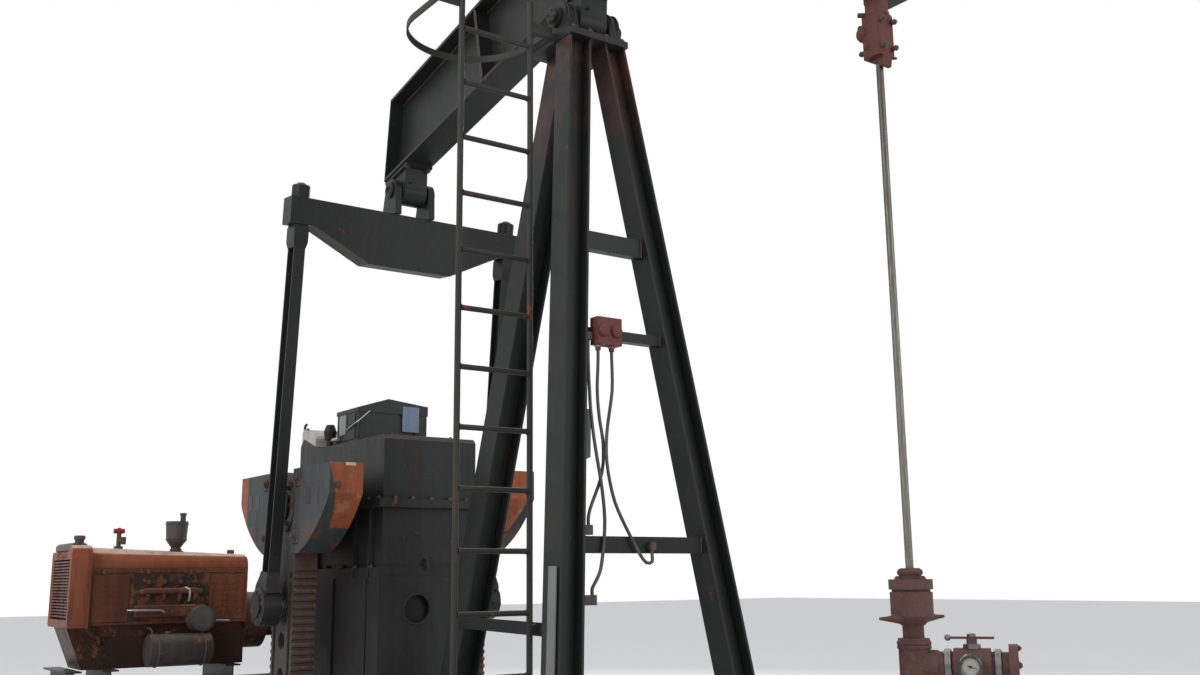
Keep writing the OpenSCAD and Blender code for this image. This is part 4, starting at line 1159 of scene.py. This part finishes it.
def crank_details():
    collars = Piece("wrist_pins", "cranks", "bare_steel")
    shaft_caps = Piece("crank_hub_caps", "cranks", "machine_paint")
    hub = []
    clamps = []
    for side in (-1, 1):
        face = CRANK_Y + CRANK_HALF
        inner = CRANK_Y - CRANK_HALF
        out = side * Y
        collars.turned(WRIST + out * (face - 0.001), out,
                       [(0, 0.068), (0.012, 0.068), (0.016, 0.062), (0.042, 0.060), (0.046, 0.05)])
        collars.turned(WRIST + out * (inner + 0.001), -out,
                       [(0, 0.075), (0.016, 0.075), (0.02, 0.06), (0.02, 0.046), (0.04, 0.044),
                        (0.044, 0.036)], 6)
        shaft_caps.turned(SHAFT + out * (face + 0.015), out,
                          [(0, 0.100), (0.008, 0.100), (0.011, 0.092), (0.011, 0.03)])
        key = SHAFT + out * (face + 0.013)
        shaft_caps.bar(key + Z * 0.085, key + Z * 0.125, 0.012)
        hub += circle_places(SHAFT + out * (face + 0.018), out, 0.14, 6, 0.3)
        for x in (-0.128, 0.128):
            for z in (-0.50, -0.62):
                clamps.append((SHAFT + Vector((x, side * (face - 0.02), z)), out))
    collars.done("crank_paint")
    shaft_caps.done("machine_paint")
    bolts("crank_hub_bolts", "cranks", hub, 0.015, 0.012, slot="crank_paint")
    bolts("slot_bolts", "cranks", clamps, 0.016, 0.012, slot="crank_paint")


def weight_details():
    lugs = Piece("weight_lugs", "cranks", "weight_paint")
    dark = Piece("weight_slots", "cranks", "dial_black", smooth=False)
    studs = []
    ends = []
    outer = CRANK_Y + 0.115
    for side in (-1, 1):
        for way in (-1, 1):
            ends.append((SHAFT + Vector((way * 0.8, side * 0.72, 0.10)), way * X))
            for x, z in ((0.27, 0.17), (0.27, -0.21)):
                stud = SHAFT + Vector((way * x, side * outer, z))
                half = Vector((0.05, 0.008, 0.05))
                lugs.block(stud - half, stud + half, 0.006)
                studs.append((stud + side * Y * 0.007, side * Y))
            for x in (0.46, 0.60):
                slot = SHAFT + Vector((way * x, side * outer, 0.05))
                dark.block(slot - Vector((0.03, side * 0.004, 0.055)),
                           slot + Vector((0.03, side * 0.0015, 0.055)), 0.001)
    lugs.done("weight_paint")
    dark.done("weight_paint")
    # A thin cream strip on the near weight's top edge: a painted highlight of light on its chamfer.
    lip = Piece("weight_lip_highlight", "cranks", "cream_paint", smooth=False)
    lip.block(SHAFT + Vector((0.797, -0.668, 0.226)), SHAFT + Vector((0.803, -0.598, 0.246)), 0.002)
    lip.done("weight_paint")
    bolts("weight_bolts", "cranks", studs, 0.026, 0.02, slot="weight_paint")
    bolts("weight_end_bolts", "cranks", ends, 0.018, 0.012, slot="weight_paint")


hanger_details()
wrist_details()
crank_details()
weight_details()


# Gear case, pedestal and locker

COVER_TOP = BOX_TOP + 0.014


def case_flange_places():
    places = []
    boss_half = ((SHAFT.x, 0.20), (INPUT_X, 0.15))
    count = 11
    for i in range(count):
        x = BOX_BACK + 0.02 + i * (BOX_FRONT - BOX_BACK - 0.04) / (count - 1)
        for side in (-1, 1):
            if all(abs(x - middle) > half for middle, half in boss_half):
                places.append((Vector((x, side * 0.373, FLANGE_TOP)), Z))
    for y in (-0.27, -0.14, 0, 0.14, 0.27):
        for x in (BOX_FRONT + 0.022, BOX_BACK - 0.023):
            places.append((Vector((x, y, FLANGE_TOP)), Z))
    return places


def case_details():
    places = case_flange_places()
    bolts("case_flange_bolts", "frame", places, 0.014, 0.013, slot="machine_paint")
    feet = [(Vector((BOX_BACK + 0.12 + i * 0.24, side * 0.366, 1.68)), Z)
            for i in range(6) for side in (-1, 1)]
    feet += [(Vector((-3.24 + i * 0.20, side * 0.40, 0.33)), Z)
             for i in range(8) for side in (-1, 1)]
    bolts("case_foot_bolts", "frame", feet, 0.018, 0.016, slot="machine_paint")
    rims = []
    for side in (-1, 1):
        rims += circle_places(SHAFT + side * Y * 0.395, side * Y, 0.143, 8, 0.39)
        rims += circle_places((INPUT_X, side * 0.395, SHAFT.z), side * Y, 0.097, 6, 0.52)
    bolts("boss_bolts", "frame", rims, 0.011, 0.007, slot="machine_paint")
    made = Piece("case_fittings", "frame", "machine_paint")
    made.block((-2.50, -0.25, BOX_TOP - 0.002), (-1.96, 0.25, COVER_TOP), 0.006)
    for y in (-0.32, 0.32):
        made.ring((-3.275, y, 2.742), Y, 0.032, 0.010, arc=0.75, start=math.pi * 0.25)
    made.tube([(-2.93, -0.19, 2.555), (-2.93, -0.19, 2.60), (-2.95, -0.17, 2.62),
               (-2.99, -0.14, 2.62)], 0.014)
    drain = [(-1.846, 1.73), (-1.82, 1.73), (-1.81, 1.70), (-1.81, 1.66)]
    made.tube([(x, -0.03, z) for x, z in drain], 0.013)
    for side in (-1, 1):
        made.turned(SHAFT + side * Y * 0.393, side * Y,
                    [(0, 0.112), (0.018, 0.112), (0.022, 0.106), (0.022, 0.086)])
    made.done()
    # The sloped rear cover of the case is made pale: a painted highlight of sky light on it.
    sheet = Piece("case_top_sheet", "frame", "bleached_sheet", smooth=False)
    section = [(-3.29, 2.60), (-3.29, 2.712), (-3.262, 2.735), (-3.055, 2.668), (-3.032, 2.645),
               (-3.032, 2.55)]
    sheet.loft([[(x, y, z) for x, z in section] for y in (-0.344, 0.344)])
    sheet.done("machine_paint")
    beads = Piece("case_welds", "frame", "bolt_iron")
    for side in (-1, 1):
        for x in (-3.0, -2.3):
            weld(beads, (x, side * 0.351, 1.69), (x, side * 0.351, 1.90), 0.006)
        y = side * 0.381
        weld(beads, (-3.235, y, PEDESTAL_BASE), (-1.825, y, PEDESTAL_BASE), 0.007)
    weld(beads, (-1.819, -0.375, PEDESTAL_BASE), (-1.819, 0.375, PEDESTAL_BASE), 0.007)
    beads.done("machine_paint")
    covers = [(Vector((x, y, COVER_TOP)), Z)
              for x in (-2.47, -2.29, -2.17, -1.99) for y in (-0.225, 0.225)]
    bolts("cover_bolts", "frame", covers, 0.009, 0.007, slot="machine_paint")


def pedestal_details():
    made = Piece("pedestal_plates", "frame", "machine_paint")
    for side in (-1, 1):
        for x in (-3.05, -2.53, -2.01):
            low = min(side * 0.379, side * 0.392)
            made.block((x - 0.008, low, 0.34), (x + 0.008, low + 0.013, PEDESTAL_TOP - 0.01), 0.003)
    made.ring((-1.822, RECESS_Y, RECESS_Z), X, 0.098, 0.007)
    made.done()


def locker_details():
    made = Piece("locker_fittings", "frame", "locker_paint", smooth=False)
    for y0, y1 in ((-0.22, 0.05), (0.25, 0.30)):
        made.block((-2.531, y0, 2.60), (-2.524, y1, 2.79), 0.002)
    made.block((-2.85, -0.247, 2.60), (-2.56, -0.239, 2.79), 0.002)
    made.done()
    roof = Piece("locker_roof", "frame", "locker_paint", smooth=False)
    section = [(-0.246, 2.798), (-0.246, 2.828), (0, 2.906), (0.326, 2.868), (0.326, 2.798)]
    roof.loft([[(x, y, z) for y, z in section] for x in (-2.886, -2.524)])
    roof.done()
    plate = Piece("locker_pale_plate", "frame", "pale_plate", smooth=False)
    plate.block((-2.81, -0.256, 2.645), (-2.70, -0.246, 2.79), 0.002)
    plate.block((-2.536, 0.240, 2.669), (-2.519, 0.250, 2.858), 0.001)
    plate.done("locker_paint")
    pipes = Piece("locker_conduit", "frame", "pipe_steel")
    pipes.tube([(-2.667, -0.257, 2.676), (-2.53, -0.257, 2.712), (-2.515, -0.245, 2.722),
                (-2.515, -0.152, 2.806)], 0.0055)
    pipes.bar((-2.52, 0.197, 2.602), (-2.485, 0.197, 2.602), 0.030, 0.018, chamfer=0.003)
    pipes.bar((-2.90, -0.264, 2.620), (-2.80, -0.264, 2.620), 0.018, chamfer=0.003)
    pipes.done("locker_paint")
    panel = Piece("locker_window", "frame", "sky_blue_panel", smooth=False)
    panel.block((-2.536, 0.118, 2.669), (-2.520, 0.240, 2.858), 0.002)
    panel.done("locker_paint")


def sheave_details():
    made = Piece("sheave_hubs", "frame", "machine_paint")
    hub_y = BELT_Y + 0.055
    made.turned(Vector((INPUT_X, hub_y, SHAFT.z)), Y,
                [(-0.03, 0.075), (0.012, 0.075), (0.016, 0.068), (0.016, 0.03)])
    made.turned(Vector((ENGINE_X, hub_y, DRIVE_Z)), Y,
                [(-0.02, 0.05), (0.010, 0.05), (0.013, 0.044), (0.013, 0.02)])
    made.done()
    ends = circle_places((INPUT_X, 0.526, SHAFT.z), Y, 0.05, 3)
    ends += circle_places((ENGINE_X, 0.523, DRIVE_Z), Y, 0.032, 3)
    bolts("sheave_bolts", "frame", ends, 0.008, 0.007, slot="machine_paint")
    brake = Piece("brake_band", "frame", "bolt_iron")
    centre = Vector((INPUT_X, -BELT_Y, SHAFT.z))
    for dy in (-0.022, 0.022):
        brake.ring(centre + Y * dy, Y, 0.267, 0.008, arc=0.8, start=0.5)
    brake.done("machine_paint")


case_details()
pedestal_details()
locker_details()
sheave_details()


# Engine

# Face and back of the radiator's frame, its filler neck, and the half width of the hood
GRILLE_Y = (-1.684, -1.672)
NECK = Vector((-4.60, -1.605, 0))
HOOD_HALF = 0.248
HOOD_ENDS = (-1.52, -0.285)
VALVE = Vector((ENGINE_X, -1.262, 0))
CLEANER = Vector((-4.73, -0.82, 0))
BELL = Vector((ENGINE_X, -0.252, 1.28))


def radiator_details():
    rad = Piece("radiator_top", "frame", "engine_grey")
    rad.block((-5.10, -1.67, 1.832), (-4.56, -1.545, 1.905), 0.016)
    rad.bar(NECK + Z * 1.90, NECK + Z * 1.93, 0.034, chamfer=0.004)
    for x in (ENGINE_X - 0.16, ENGINE_X, ENGINE_X + 0.16):
        rad.bar((x, -1.646, 1.33), (x, -1.646, 1.78), 0.006)
    rad.block((-5.06, -1.632, 1.32), (-4.52, -1.622, 1.78), 0.002)
    rad.done()
    cap = Piece("radiator_cap", "frame", "bolt_iron")
    cap.bar(NECK + Z * 1.928, NECK + Z * 1.962, 0.042, chamfer=0.006)
    cap.done("engine_grey")
    row("radiator_slats", "frame", "engine_red", [(ENGINE_X, -1.676, 1.345)], (0, 0, 0.023), 20,
        (0.545, 0.007, 0.010))
    grille = Piece("radiator_frame", "frame", "engine_orange", smooth=False)
    front, back = GRILLE_Y
    for x0, x1 in ((-4.49, -4.462), (-5.118, -5.09)):
        grille.block((x0, front, 1.27), (x1, back, 1.83), 0.003)
    for z in (1.272, 1.80):
        grille.block((-5.10, front, z), (-4.48, back, z + 0.03), 0.003)
    for x0, x1 in ((-4.462, -4.456), (-5.124, -5.118)):
        grille.block((x0, -1.66, 1.28), (x1, -1.55, 1.82), 0.002)
    grille.done()


def hood_details():
    hood = Piece("hood_panels", "frame", "engine_orange", smooth=False)
    y_rear, y_front = HOOD_ENDS
    for side in (-1, 1):
        x0, x1 = sorted((ENGINE_X + side * HOOD_HALF, ENGINE_X + side * (HOOD_HALF + 0.01)))
        for y0, y1 in ((-1.50, -1.22), (-0.58, -0.30)):
            hood.block((x0, y0, 1.295), (x1, y1, 1.655), 0.003)
        hood.block((x0, y_rear, 1.672), (x1 - 0.002, y_front, 1.684), 0.003)
        hood.block((x0, y_rear, 1.272), (x1, y_front, 1.290), 0.003)
    hood.done()
    # The hood's cover carries the painted sky-lit highlight on its top.
    cover = Piece("hood_cover", "frame", "faded_orange")
    rings = []
    for y, rise in ((-1.531, 0.069), (-1.526, 0.076), (-0.276, 0.025), (-0.271, 0.018)):
        half = [(0.252, 1.712), (0.246, 1.755), (0.220, 1.786 + rise * 0.4),
                (0.165, 1.797 + rise * 0.85), (0.06, 1.80 + rise)]
        rings.append([(ENGINE_X + x, y, z) for x, z in half]
                     + [(ENGINE_X - x, y, z) for x, z in reversed(half)])
    cover.loft(rings)
    cheek = [(-4.58, 1.83), (-4.58, 1.868), (-4.55, 1.886), (-4.50, 1.880), (-4.466, 1.850),
             (-4.461, 1.83)]
    cover.loft([[(x, y, z) for x, z in cheek] for y in (-1.679, -1.533)])
    cover.done("engine_orange")
    open_side = Piece("engine_opening", "frame", "engine_inside", smooth=False)
    open_side.block((-4.5415, -1.21, 1.295), (-4.5375, -0.59, 1.665), 0.001)
    open_side.done("engine_red")
    vents = [(-4.531, y, 1.36) for y in (-1.36, -0.44)]
    row("hood_vents", "frame", "engine_orange", vents, (0, 0, 0.045), 6, (0.008, 0.17, 0.012))
    catches = Piece("hood_catches", "frame", "bolt_iron")
    for y in (-1.42, -1.08, -0.74, -0.40):
        catches.block((-4.546, y - 0.012, 1.66), (-4.527, y + 0.012, 1.70), 0.003)
    catches.done("engine_red")


def engine_side():
    """Head, manifold, rods and pipes that show where the hood is open."""
    head = Piece("engine_head", "frame", "engine_red")
    head.block((-4.545, -1.18, 1.32), (-4.505, -0.62, 1.42), 0.008)
    head.tube([(-4.52, -1.14, 1.52), (-4.505, -1.10, 1.53), (-4.505, -0.72, 1.53),
               (-4.52, -0.66, 1.52)], 0.024)
    for i in range(4):
        y = -1.08 + 0.125 * i
        head.tube([(-4.535, y, 1.46), (-4.515, y, 1.475), (-4.507, y, 1.51)], 0.020)
        head.bar((-4.535, y, 1.60), (-4.51, y, 1.60), 0.018, chamfer=0.004)
    head.done()
    rail = Piece("engine_rods", "frame", "pipe_steel")
    rail.tube([(-4.515, -1.23, 1.383), (-4.492, -1.21, 1.383), (-4.485, -0.98, 1.378),
               (-4.495, -0.95, 1.36), (-4.52, -0.94, 1.335)], 0.0085)
    rail.tube([(-4.53, -0.80, 1.55), (-4.50, -0.79, 1.555), (-4.485, -0.765, 1.54),
               (-4.485, -0.76, 1.50), (-4.51, -0.76, 1.45)], 0.009)
    rail.tube([(-4.53, -0.545, 1.29), (-4.51, -0.54, 1.29), (-4.51, -0.42, 1.285),
               (-4.53, -0.415, 1.285)], 0.008)
    rail.done("engine_grey")
    block = Piece("engine_block_parts", "frame", "engine_red")
    for i in range(4):
        y = -1.36 + 0.27 * i
        block.bar((-4.585, y, 1.20), (-4.568, y, 1.20), 0.030, chamfer=0.005)
        block.bar((-4.995, y, 1.18), (-5.02, y, 1.18), 0.024, chamfer=0.004)
    block.tube([(-4.585, -1.40, 1.14), (-4.545, -1.42, 1.16), (-4.535, -1.50, 1.22),
                (-4.535, -1.54, 1.30)], 0.024)
    block.bar(BELL - Y * 0.02, BELL, 0.245, chamfer=0.004)
    block.block((-4.99, -1.535, 1.244), (-4.59, -1.20, 1.258), 0.003)
    block.done()
    bolts("bell_bolts", "frame", circle_places(BELL, Y, 0.232, 12), 0.009, 0.008, slot="engine_red")


def engine_fittings():
    tank = Piece("tank_bands", "frame", "bolt_iron")
    for y in (-1.02, -0.66):
        tank.ring((TANK_X, y, TANK_Z), Y, 0.127, 0.006)
    tank.bar((TANK_X, -0.93, 1.192), (TANK_X, -0.93, 1.216), 0.022, chamfer=0.004)
    tank.tube([(TANK_X, -1.05, 1.19), (TANK_X, -1.05, 1.22), (TANK_X - 0.03, -1.06, 1.24),
               (TANK_X - 0.09, -1.07, 1.245)], 0.007)
    for x, radius, thick in ((-4.391, 0.074, 0.005), (-4.52, 0.102, 0.006)):
        tank.ring((x, -0.665, 1.31), X, radius, thick)
    tank.done("engine_grey")
    ends = Piece("tank_ends", "frame", "engine_grey")
    for y, way in ((-1.08, -1), (-0.60, 1)):
        ends.turned(Vector((TANK_X, y, TANK_Z)), way * Y,
                    [(-0.004, 0.121), (0.006, 0.112), (0.014, 0.085), (0.019, 0.045), (0.02, 0.01)])
    ends.done()
    top = Piece("hood_top_parts", "frame", "bolt_iron")
    top.bar(VALVE + Z * 1.85, VALVE + Z * 2.01, 0.018)
    top.bar(VALVE + Z * 1.85, VALVE + Z * 1.888, 0.035, chamfer=0.004)
    top.bar(VALVE + Z * 1.93, VALVE + Vector((0.05, 0.025, 1.93)), 0.016)
    top.bar(VALVE + Vector((0.045, 0.023, 1.90)), VALVE + Vector((0.045, 0.023, 1.96)), 0.022,
            chamfer=0.004)
    top.bar((ENGINE_X, -0.34, 1.815), (ENGINE_X, -0.34, 1.862), 0.030, chamfer=0.005)
    top.turned(CLEANER + Z * 1.83, Z, [(0, 0.06), (0.018, 0.06), (0.022, 0.05), (0.022, 0.04)])
    top.done("engine_red")
    valve = Piece("hood_valve", "frame", "valve_red")
    valve.bar(VALVE + Vector((0, -0.043, 2.008)), VALVE + Vector((0, 0.042, 2.008)), 0.020,
              chamfer=0.004)
    valve.ball(VALVE + Z * 2.010, 0.026)
    valve.done("oxide_red")
    air = Piece("air_cleaner_parts", "frame", "bolt_iron")
    for rise, radius, thick in ((1.945, 0.082, 0.005), (2.07, 0.0895, 0.005), (1.86, 0.043, 0.006)):
        air.ring(CLEANER + Z * rise, Z, radius, thick)
    air.turned(CLEANER + Vector((0.02, 0.04, 2.14)), Z, [(0, 0.026), (0.012, 0.029), (0.02, 0.024)])
    air.done("engine_grey")
    mounts = [(Vector((ENGINE_X + dx, 0.30, ENGINE_Z)), Z) for dx in (-0.22, 0.22)]
    bolts("engine_bolts", "frame", mounts, 0.014, 0.013, slot="engine_red")


radiator_details()
hood_details()
engine_side()
engine_fittings()


# Junction box, switch and cables


def box_details():
    made = Piece("junction_covers", "frame", "oxide_red")
    for y in (-0.182, -0.098):
        made.turned(Vector((0.405, y, 2.895)), X, [(0, 0.034), (0.020, 0.034), (0.027, 0.029),
                                                   (0.029, 0.010)])
    made.done()
    gland = Piece("gland_nuts", "frame", "bare_steel")
    for y in (-0.20, -0.11):
        gland.bar((0.385, y, 2.806), (0.385, y, 2.816), 0.019, sides=6)
    gland.done("oxide_red")


def smooth_path(points, steps):
    """Smooth path through points, steps pieces between each two."""
    path = []
    count = len(points)
    for i in range(count - 1):
        p0, p1 = points[max(i - 1, 0)], points[i]
        p2, p3 = points[i + 1], points[min(i + 2, count - 1)]
        for k in range(steps):
            t = k / steps
            path.append(0.5 * (2 * p1 + (p2 - p0) * t + (2 * p0 - 5 * p1 + 4 * p2 - p3) * t * t
                               + (3 * p1 - p0 - 3 * p2 + p3) * t ** 3))
    path.append(points[-1])
    return path


ROUTE_A = [(385, -200, 2790), (385, -200, 2750), (392, -208, 2680), (402, -220, 2590),
           (412, -224, 2500), (424, -221, 2400), (440, -214, 2300), (455, -225, 2180),
           (468, -255, 2090), (480, -298, 2010), (490, -336, 1940), (494, -350, 1895),
           (494, -350, 1860)]
ROUTE_B = [(385, -110, 2790), (385, -110, 2750), (394, -114, 2660), (404, -124, 2570),
           (420, -152, 2470), (448, -190, 2370), (470, -215, 2270), (484, -222, 2180),
           (492, -210, 2080), (498, -185, 1980), (506, -145, 1890), (514, -96, 1800),
           (522, -50, 1720), (528, -10, 1672), (528, 28, 1676), (520, 36, 1706), (518, 36, 1735)]
ROUTE_C = [(364, -250, 2845), (364, -250, 2805), (372, -256, 2750), (389, -266, 2664),
           (405, -272, 2560), (418, -275, 2457), (446, -276, 2310), (478, -276, 2180),
           (494, -268, 2080), (502, -260, 1980), (506, -256, 1886), (510, -264, 1790),
           (518, -280, 1710), (528, -304, 1630), (534, -338, 1578), (536, -360, 1545),
           (536, -360, 1515)]
CABLE_R = 0.009


def cable(name, route, node):
    """Loose cable along a route in millimetres."""
    path = smooth_path([Vector(p) / 1000 for p in route], 2)
    curve = bpy.data.curves.new(name, "CURVE")
    curve.dimensions = "3D"
    curve.bevel_depth = CABLE_R
    curve.bevel_resolution = 3
    curve.use_fill_caps = True
    spline = curve.splines.new("POLY")
    spline.points.add(len(path) - 1)
    for point, place in zip(spline.points, path):
        point.co = (*place, 1)
    curve.materials.append(FINISHES["cable_rubber"])
    made = bpy.data.objects.new(name, curve)
    bpy.context.scene.collection.objects.link(made)
    place_piece(made, "frame", "cable_rubber", replaces=[node])
    length = sum((b - a).length for a, b in zip(path, path[1:]))


box_details()
cable("hanging_cable_a", ROUTE_A, "cable_a")
cable("hanging_cable_b", ROUTE_B, "cable_b")
cable("hanging_cable_c", ROUTE_C, "cable_c")


# Wellhead


def turned_place(along, across, z):
    """Point of the outlet: along it, across it, at a height."""
    c, s = math.cos(OUTLET_TURN), math.sin(OUTLET_TURN)
    return Vector((FRONT_ARM + along * c - across * s, along * s + across * c, z))


OUTLET_WAY = turned_place(1, 0, 0) - turned_place(0, 0, 0)
GAUGE_FACE = turned_place(0, -1, 0) - turned_place(0, 0, 0)
WELL = Vector((FRONT_ARM, 0, 0))
MARKS = 20
NEEDLE_TURN = -1.9


def well_details():
    lower = circle_places(WELL + Z * 0.484, Z, 0.158, 8, 0.39)
    under = circle_places(WELL + Z * 0.38, -1 * Z, 0.158, 8, -0.39)
    bolts("flange_nuts", "frame", lower + under, 0.019, 0.018, finish="well_rust", slot="well_rust")
    upper = circle_places(WELL + Z * 0.905, Z, 0.108, 6, 0.3)
    bolts("neck_nuts", "frame", upper, 0.012, 0.011, finish="well_rust", slot="well_rust")
    studs = Piece("flange_studs", "frame", "well_rust")
    for place, _ in lower:
        studs.bar(place - Z * 0.10, place + Z * 0.03, 0.010)
    studs.ring(WELL + Z * 0.432, Z, 0.10, 0.012)
    for z, radius in ((1.02, 0.0635), (0.96, 0.0585), (1.305, 0.0565)):
        for up in (0.011, 0.027):
            studs.ring(WELL + Z * (z + up), Z, radius, 0.0115)
    studs.turned(turned_place(0.06, 0, OUTLET_Z), OUTLET_WAY,
                 [(0, 0.053), (0.006, 0.056), (0.03, 0.056), (0.036, 0.05)])
    studs.done()
    ends = circle_places(turned_place(0.390, 0, OUTLET_Z), OUTLET_WAY, 0.064, 4, 0.78)
    bolts("tee_nuts", "frame", ends, 0.010, 0.008, finish="well_rust", slot="well_rust")


def stuffing_details():
    top = WELL + Z * STUFFING_Z
    made = Piece("stuffing_parts", "frame", "well_rust")
    made.ring(top - Z * 0.002, Z, 0.036, 0.006)
    made.turned(top - Z * 0.023, Z, [(0, 0.048), (0.005, 0.051), (0.015, 0.051), (0.020, 0.047)])
    for side in (-1, 1):
        made.bar(top + Vector((0, side * 0.15, -0.192)), top + Vector((0, side * 0.192, -0.190)),
                 0.0095, 0.006)
    made.done()
    tops = circle_places(top - Z * 0.04, Z, 0.067, 4, 0.6)
    bolts("gland_bolts", "frame", tops, 0.009, 0.008, finish="well_rust", slot="well_rust")


def gauge_details():
    face = GAUGE_FACE
    front = turned_place(0.215, -0.124, OUTLET_Z)
    rim = Piece("gauge_rim", "frame", "gauge_steel")
    rim.ring(front + face * 0.001, face, 0.0395, 0.0065, steps=40)
    rim.turned(turned_place(0.215, -0.062, OUTLET_Z), face, [(0, 0.016), (0.02, 0.016)], 6)
    rim.done()
    dial = Piece("gauge_dial", "frame", "dial_white", smooth=False)
    dial.bar(front - face * 0.002, front + face * 0.001, 0.037, sides=32)
    dial.done("gauge_steel")
    marks = Piece("gauge_marks", "frame", "dial_black", smooth=False)
    side = face.cross(Z)
    for k in range(MARKS + 1):
        angle = math.radians(-135 + 270 * k / MARKS)
        way = Z * math.cos(angle) + side * math.sin(angle)
        inner = 0.0275 if k % 5 else 0.024
        on_dial = front + face * 0.0012
        marks.bar(on_dial + way * inner, on_dial + way * 0.032, 0.0007, sides=5)
    needle = Z * math.cos(NEEDLE_TURN) + side * math.sin(NEEDLE_TURN)
    hub = front + face * 0.0022
    marks.bar(hub - needle * 0.012, hub + needle * 0.025, 0.0018, 0.0007, sides=6)
    marks.bar(front, front + face * 0.004, 0.005, sides=16)
    marks.done("gauge_steel")


def valve_details():
    """Union nuts of the valve, and the nuts on its stem."""
    nuts = Piece("valve_nuts", "frame", "bare_steel")
    for along in (0.112, 0.300):
        nuts.turned(turned_place(along, 0, OUTLET_Z), OUTLET_WAY,
                    [(0, 0.056), (0.004, 0.061), (0.026, 0.061), (0.030, 0.056)], 8)
    stem = turned_place(0.22, 0, OUTLET_Z)
    nuts.turned(stem + Z * 0.060, Z, [(0, 0.034), (0.016, 0.034), (0.020, 0.029)], 6)
    nuts.turned(stem + Z * 0.1065, Z, [(0, 0.017), (0.010, 0.017), (0.013, 0.013)], 6)
    nuts.ball(turned_place(0.13, -0.002, OUTLET_Z + 0.103), 0.013)
    nuts.done("well_rust")


well_details()
stuffing_details()
valve_details()
gauge_details()


# Camera, floor and light


# The camera's place and aim, solved from the photograph, in metres and degrees
CAMERA_PLACE = Vector((5.48, -3.9, 1.6))
CAMERA_HEADING = (-0.808, 0.589)
CAMERA_PITCH = 11.3
CAMERA_ROLL = -0.6
FLOOR_HALF = 60


def placed(name, data, place, turn):
    """An object in the scene, at a place and turned."""
    made = bpy.data.objects.new(name, data)
    bpy.context.scene.collection.objects.link(made)
    made.matrix_world = Matrix.Translation(place) @ turn
    return made


def camera():
    data = bpy.data.cameras.new("camera")
    data.sensor_width = 36
    data.lens = 36
    data.clip_end = 200
    pitch = math.radians(CAMERA_PITCH)
    level = math.cos(pitch)
    ahead = Vector((CAMERA_HEADING[0] * level, CAMERA_HEADING[1] * level, math.sin(pitch)))
    aim = ahead.to_track_quat("-Z", "Y").to_matrix().to_4x4()
    roll = Matrix.Rotation(math.radians(CAMERA_ROLL), 4, "Z")
    scene = bpy.context.scene
    scene.camera = placed("camera", data, CAMERA_PLACE, aim @ roll)
    scene.view_settings.view_transform = "Standard"


def floor():
    pale = Finish("floor")
    pale.set("Base Color", (0.80, 0.80, 0.80, 1))
    pale.set("Roughness", 0.9)
    mesh = bpy.data.meshes.new("floor")
    h = FLOOR_HALF
    mesh.from_pydata([(-h, -h, 0), (h, -h, 0), (h, h, 0), (-h, h, 0)], [], [(0, 1, 2, 3)])
    mesh.materials.append(pale.material)
    placed("floor", mesh, Vector((0, 0, 0)), Matrix.Identity(4))


def lamp(name, place, aim, size, power):
    """Soft rectangular lamp, which the camera doesn't see."""
    data = bpy.data.lights.new(name, "AREA")
    data.shape = "RECTANGLE"
    data.size, data.size_y = size
    data.energy = power
    turn = (Vector(aim) - Vector(place)).to_track_quat("-Z", "Y").to_matrix().to_4x4()
    placed(name, data, Vector(place), turn).visible_camera = False


def world():
    """Soft grey light; white where the camera, a reflection or a clear surface sees it."""
    made = bpy.data.worlds.new("studio")
    bpy.context.scene.world = made
    made.use_nodes = True
    tree = made.node_tree
    tree.nodes.clear()
    path = add(tree, "ShaderNodeLightPath")
    seen = path.outputs["Is Camera Ray"]
    for label in ("Is Glossy Ray", "Is Transmission Ray"):
        largest = {"operation": "MAXIMUM"}
        seen = add(tree, "ShaderNodeMath", largest, {0: seen, 1: path.outputs[label]}).outputs[0]
    soft = add(tree, "ShaderNodeBackground", None, {0: (0.93, 0.94, 0.96, 1), 1: 0.75})
    white = add(tree, "ShaderNodeBackground", None, {0: (1, 1, 1, 1), 1: 1})
    mix = add(tree, "ShaderNodeMixShader", None, {0: seen, 1: soft.outputs[0], 2: white.outputs[0]})
    add(tree, "ShaderNodeOutputWorld", None, {0: mix.outputs[0]})


camera()
floor()
lamp("key", (1.5, -11, 9), (-1.5, 0, 3), (7, 7), 750)
lamp("fill", (10, 3, 6), (-1, 0, 3), (6, 5), 350)
lamp("back", (-9, 8, 8), (-1.5, 0, 3), (6, 6), 650)
world()
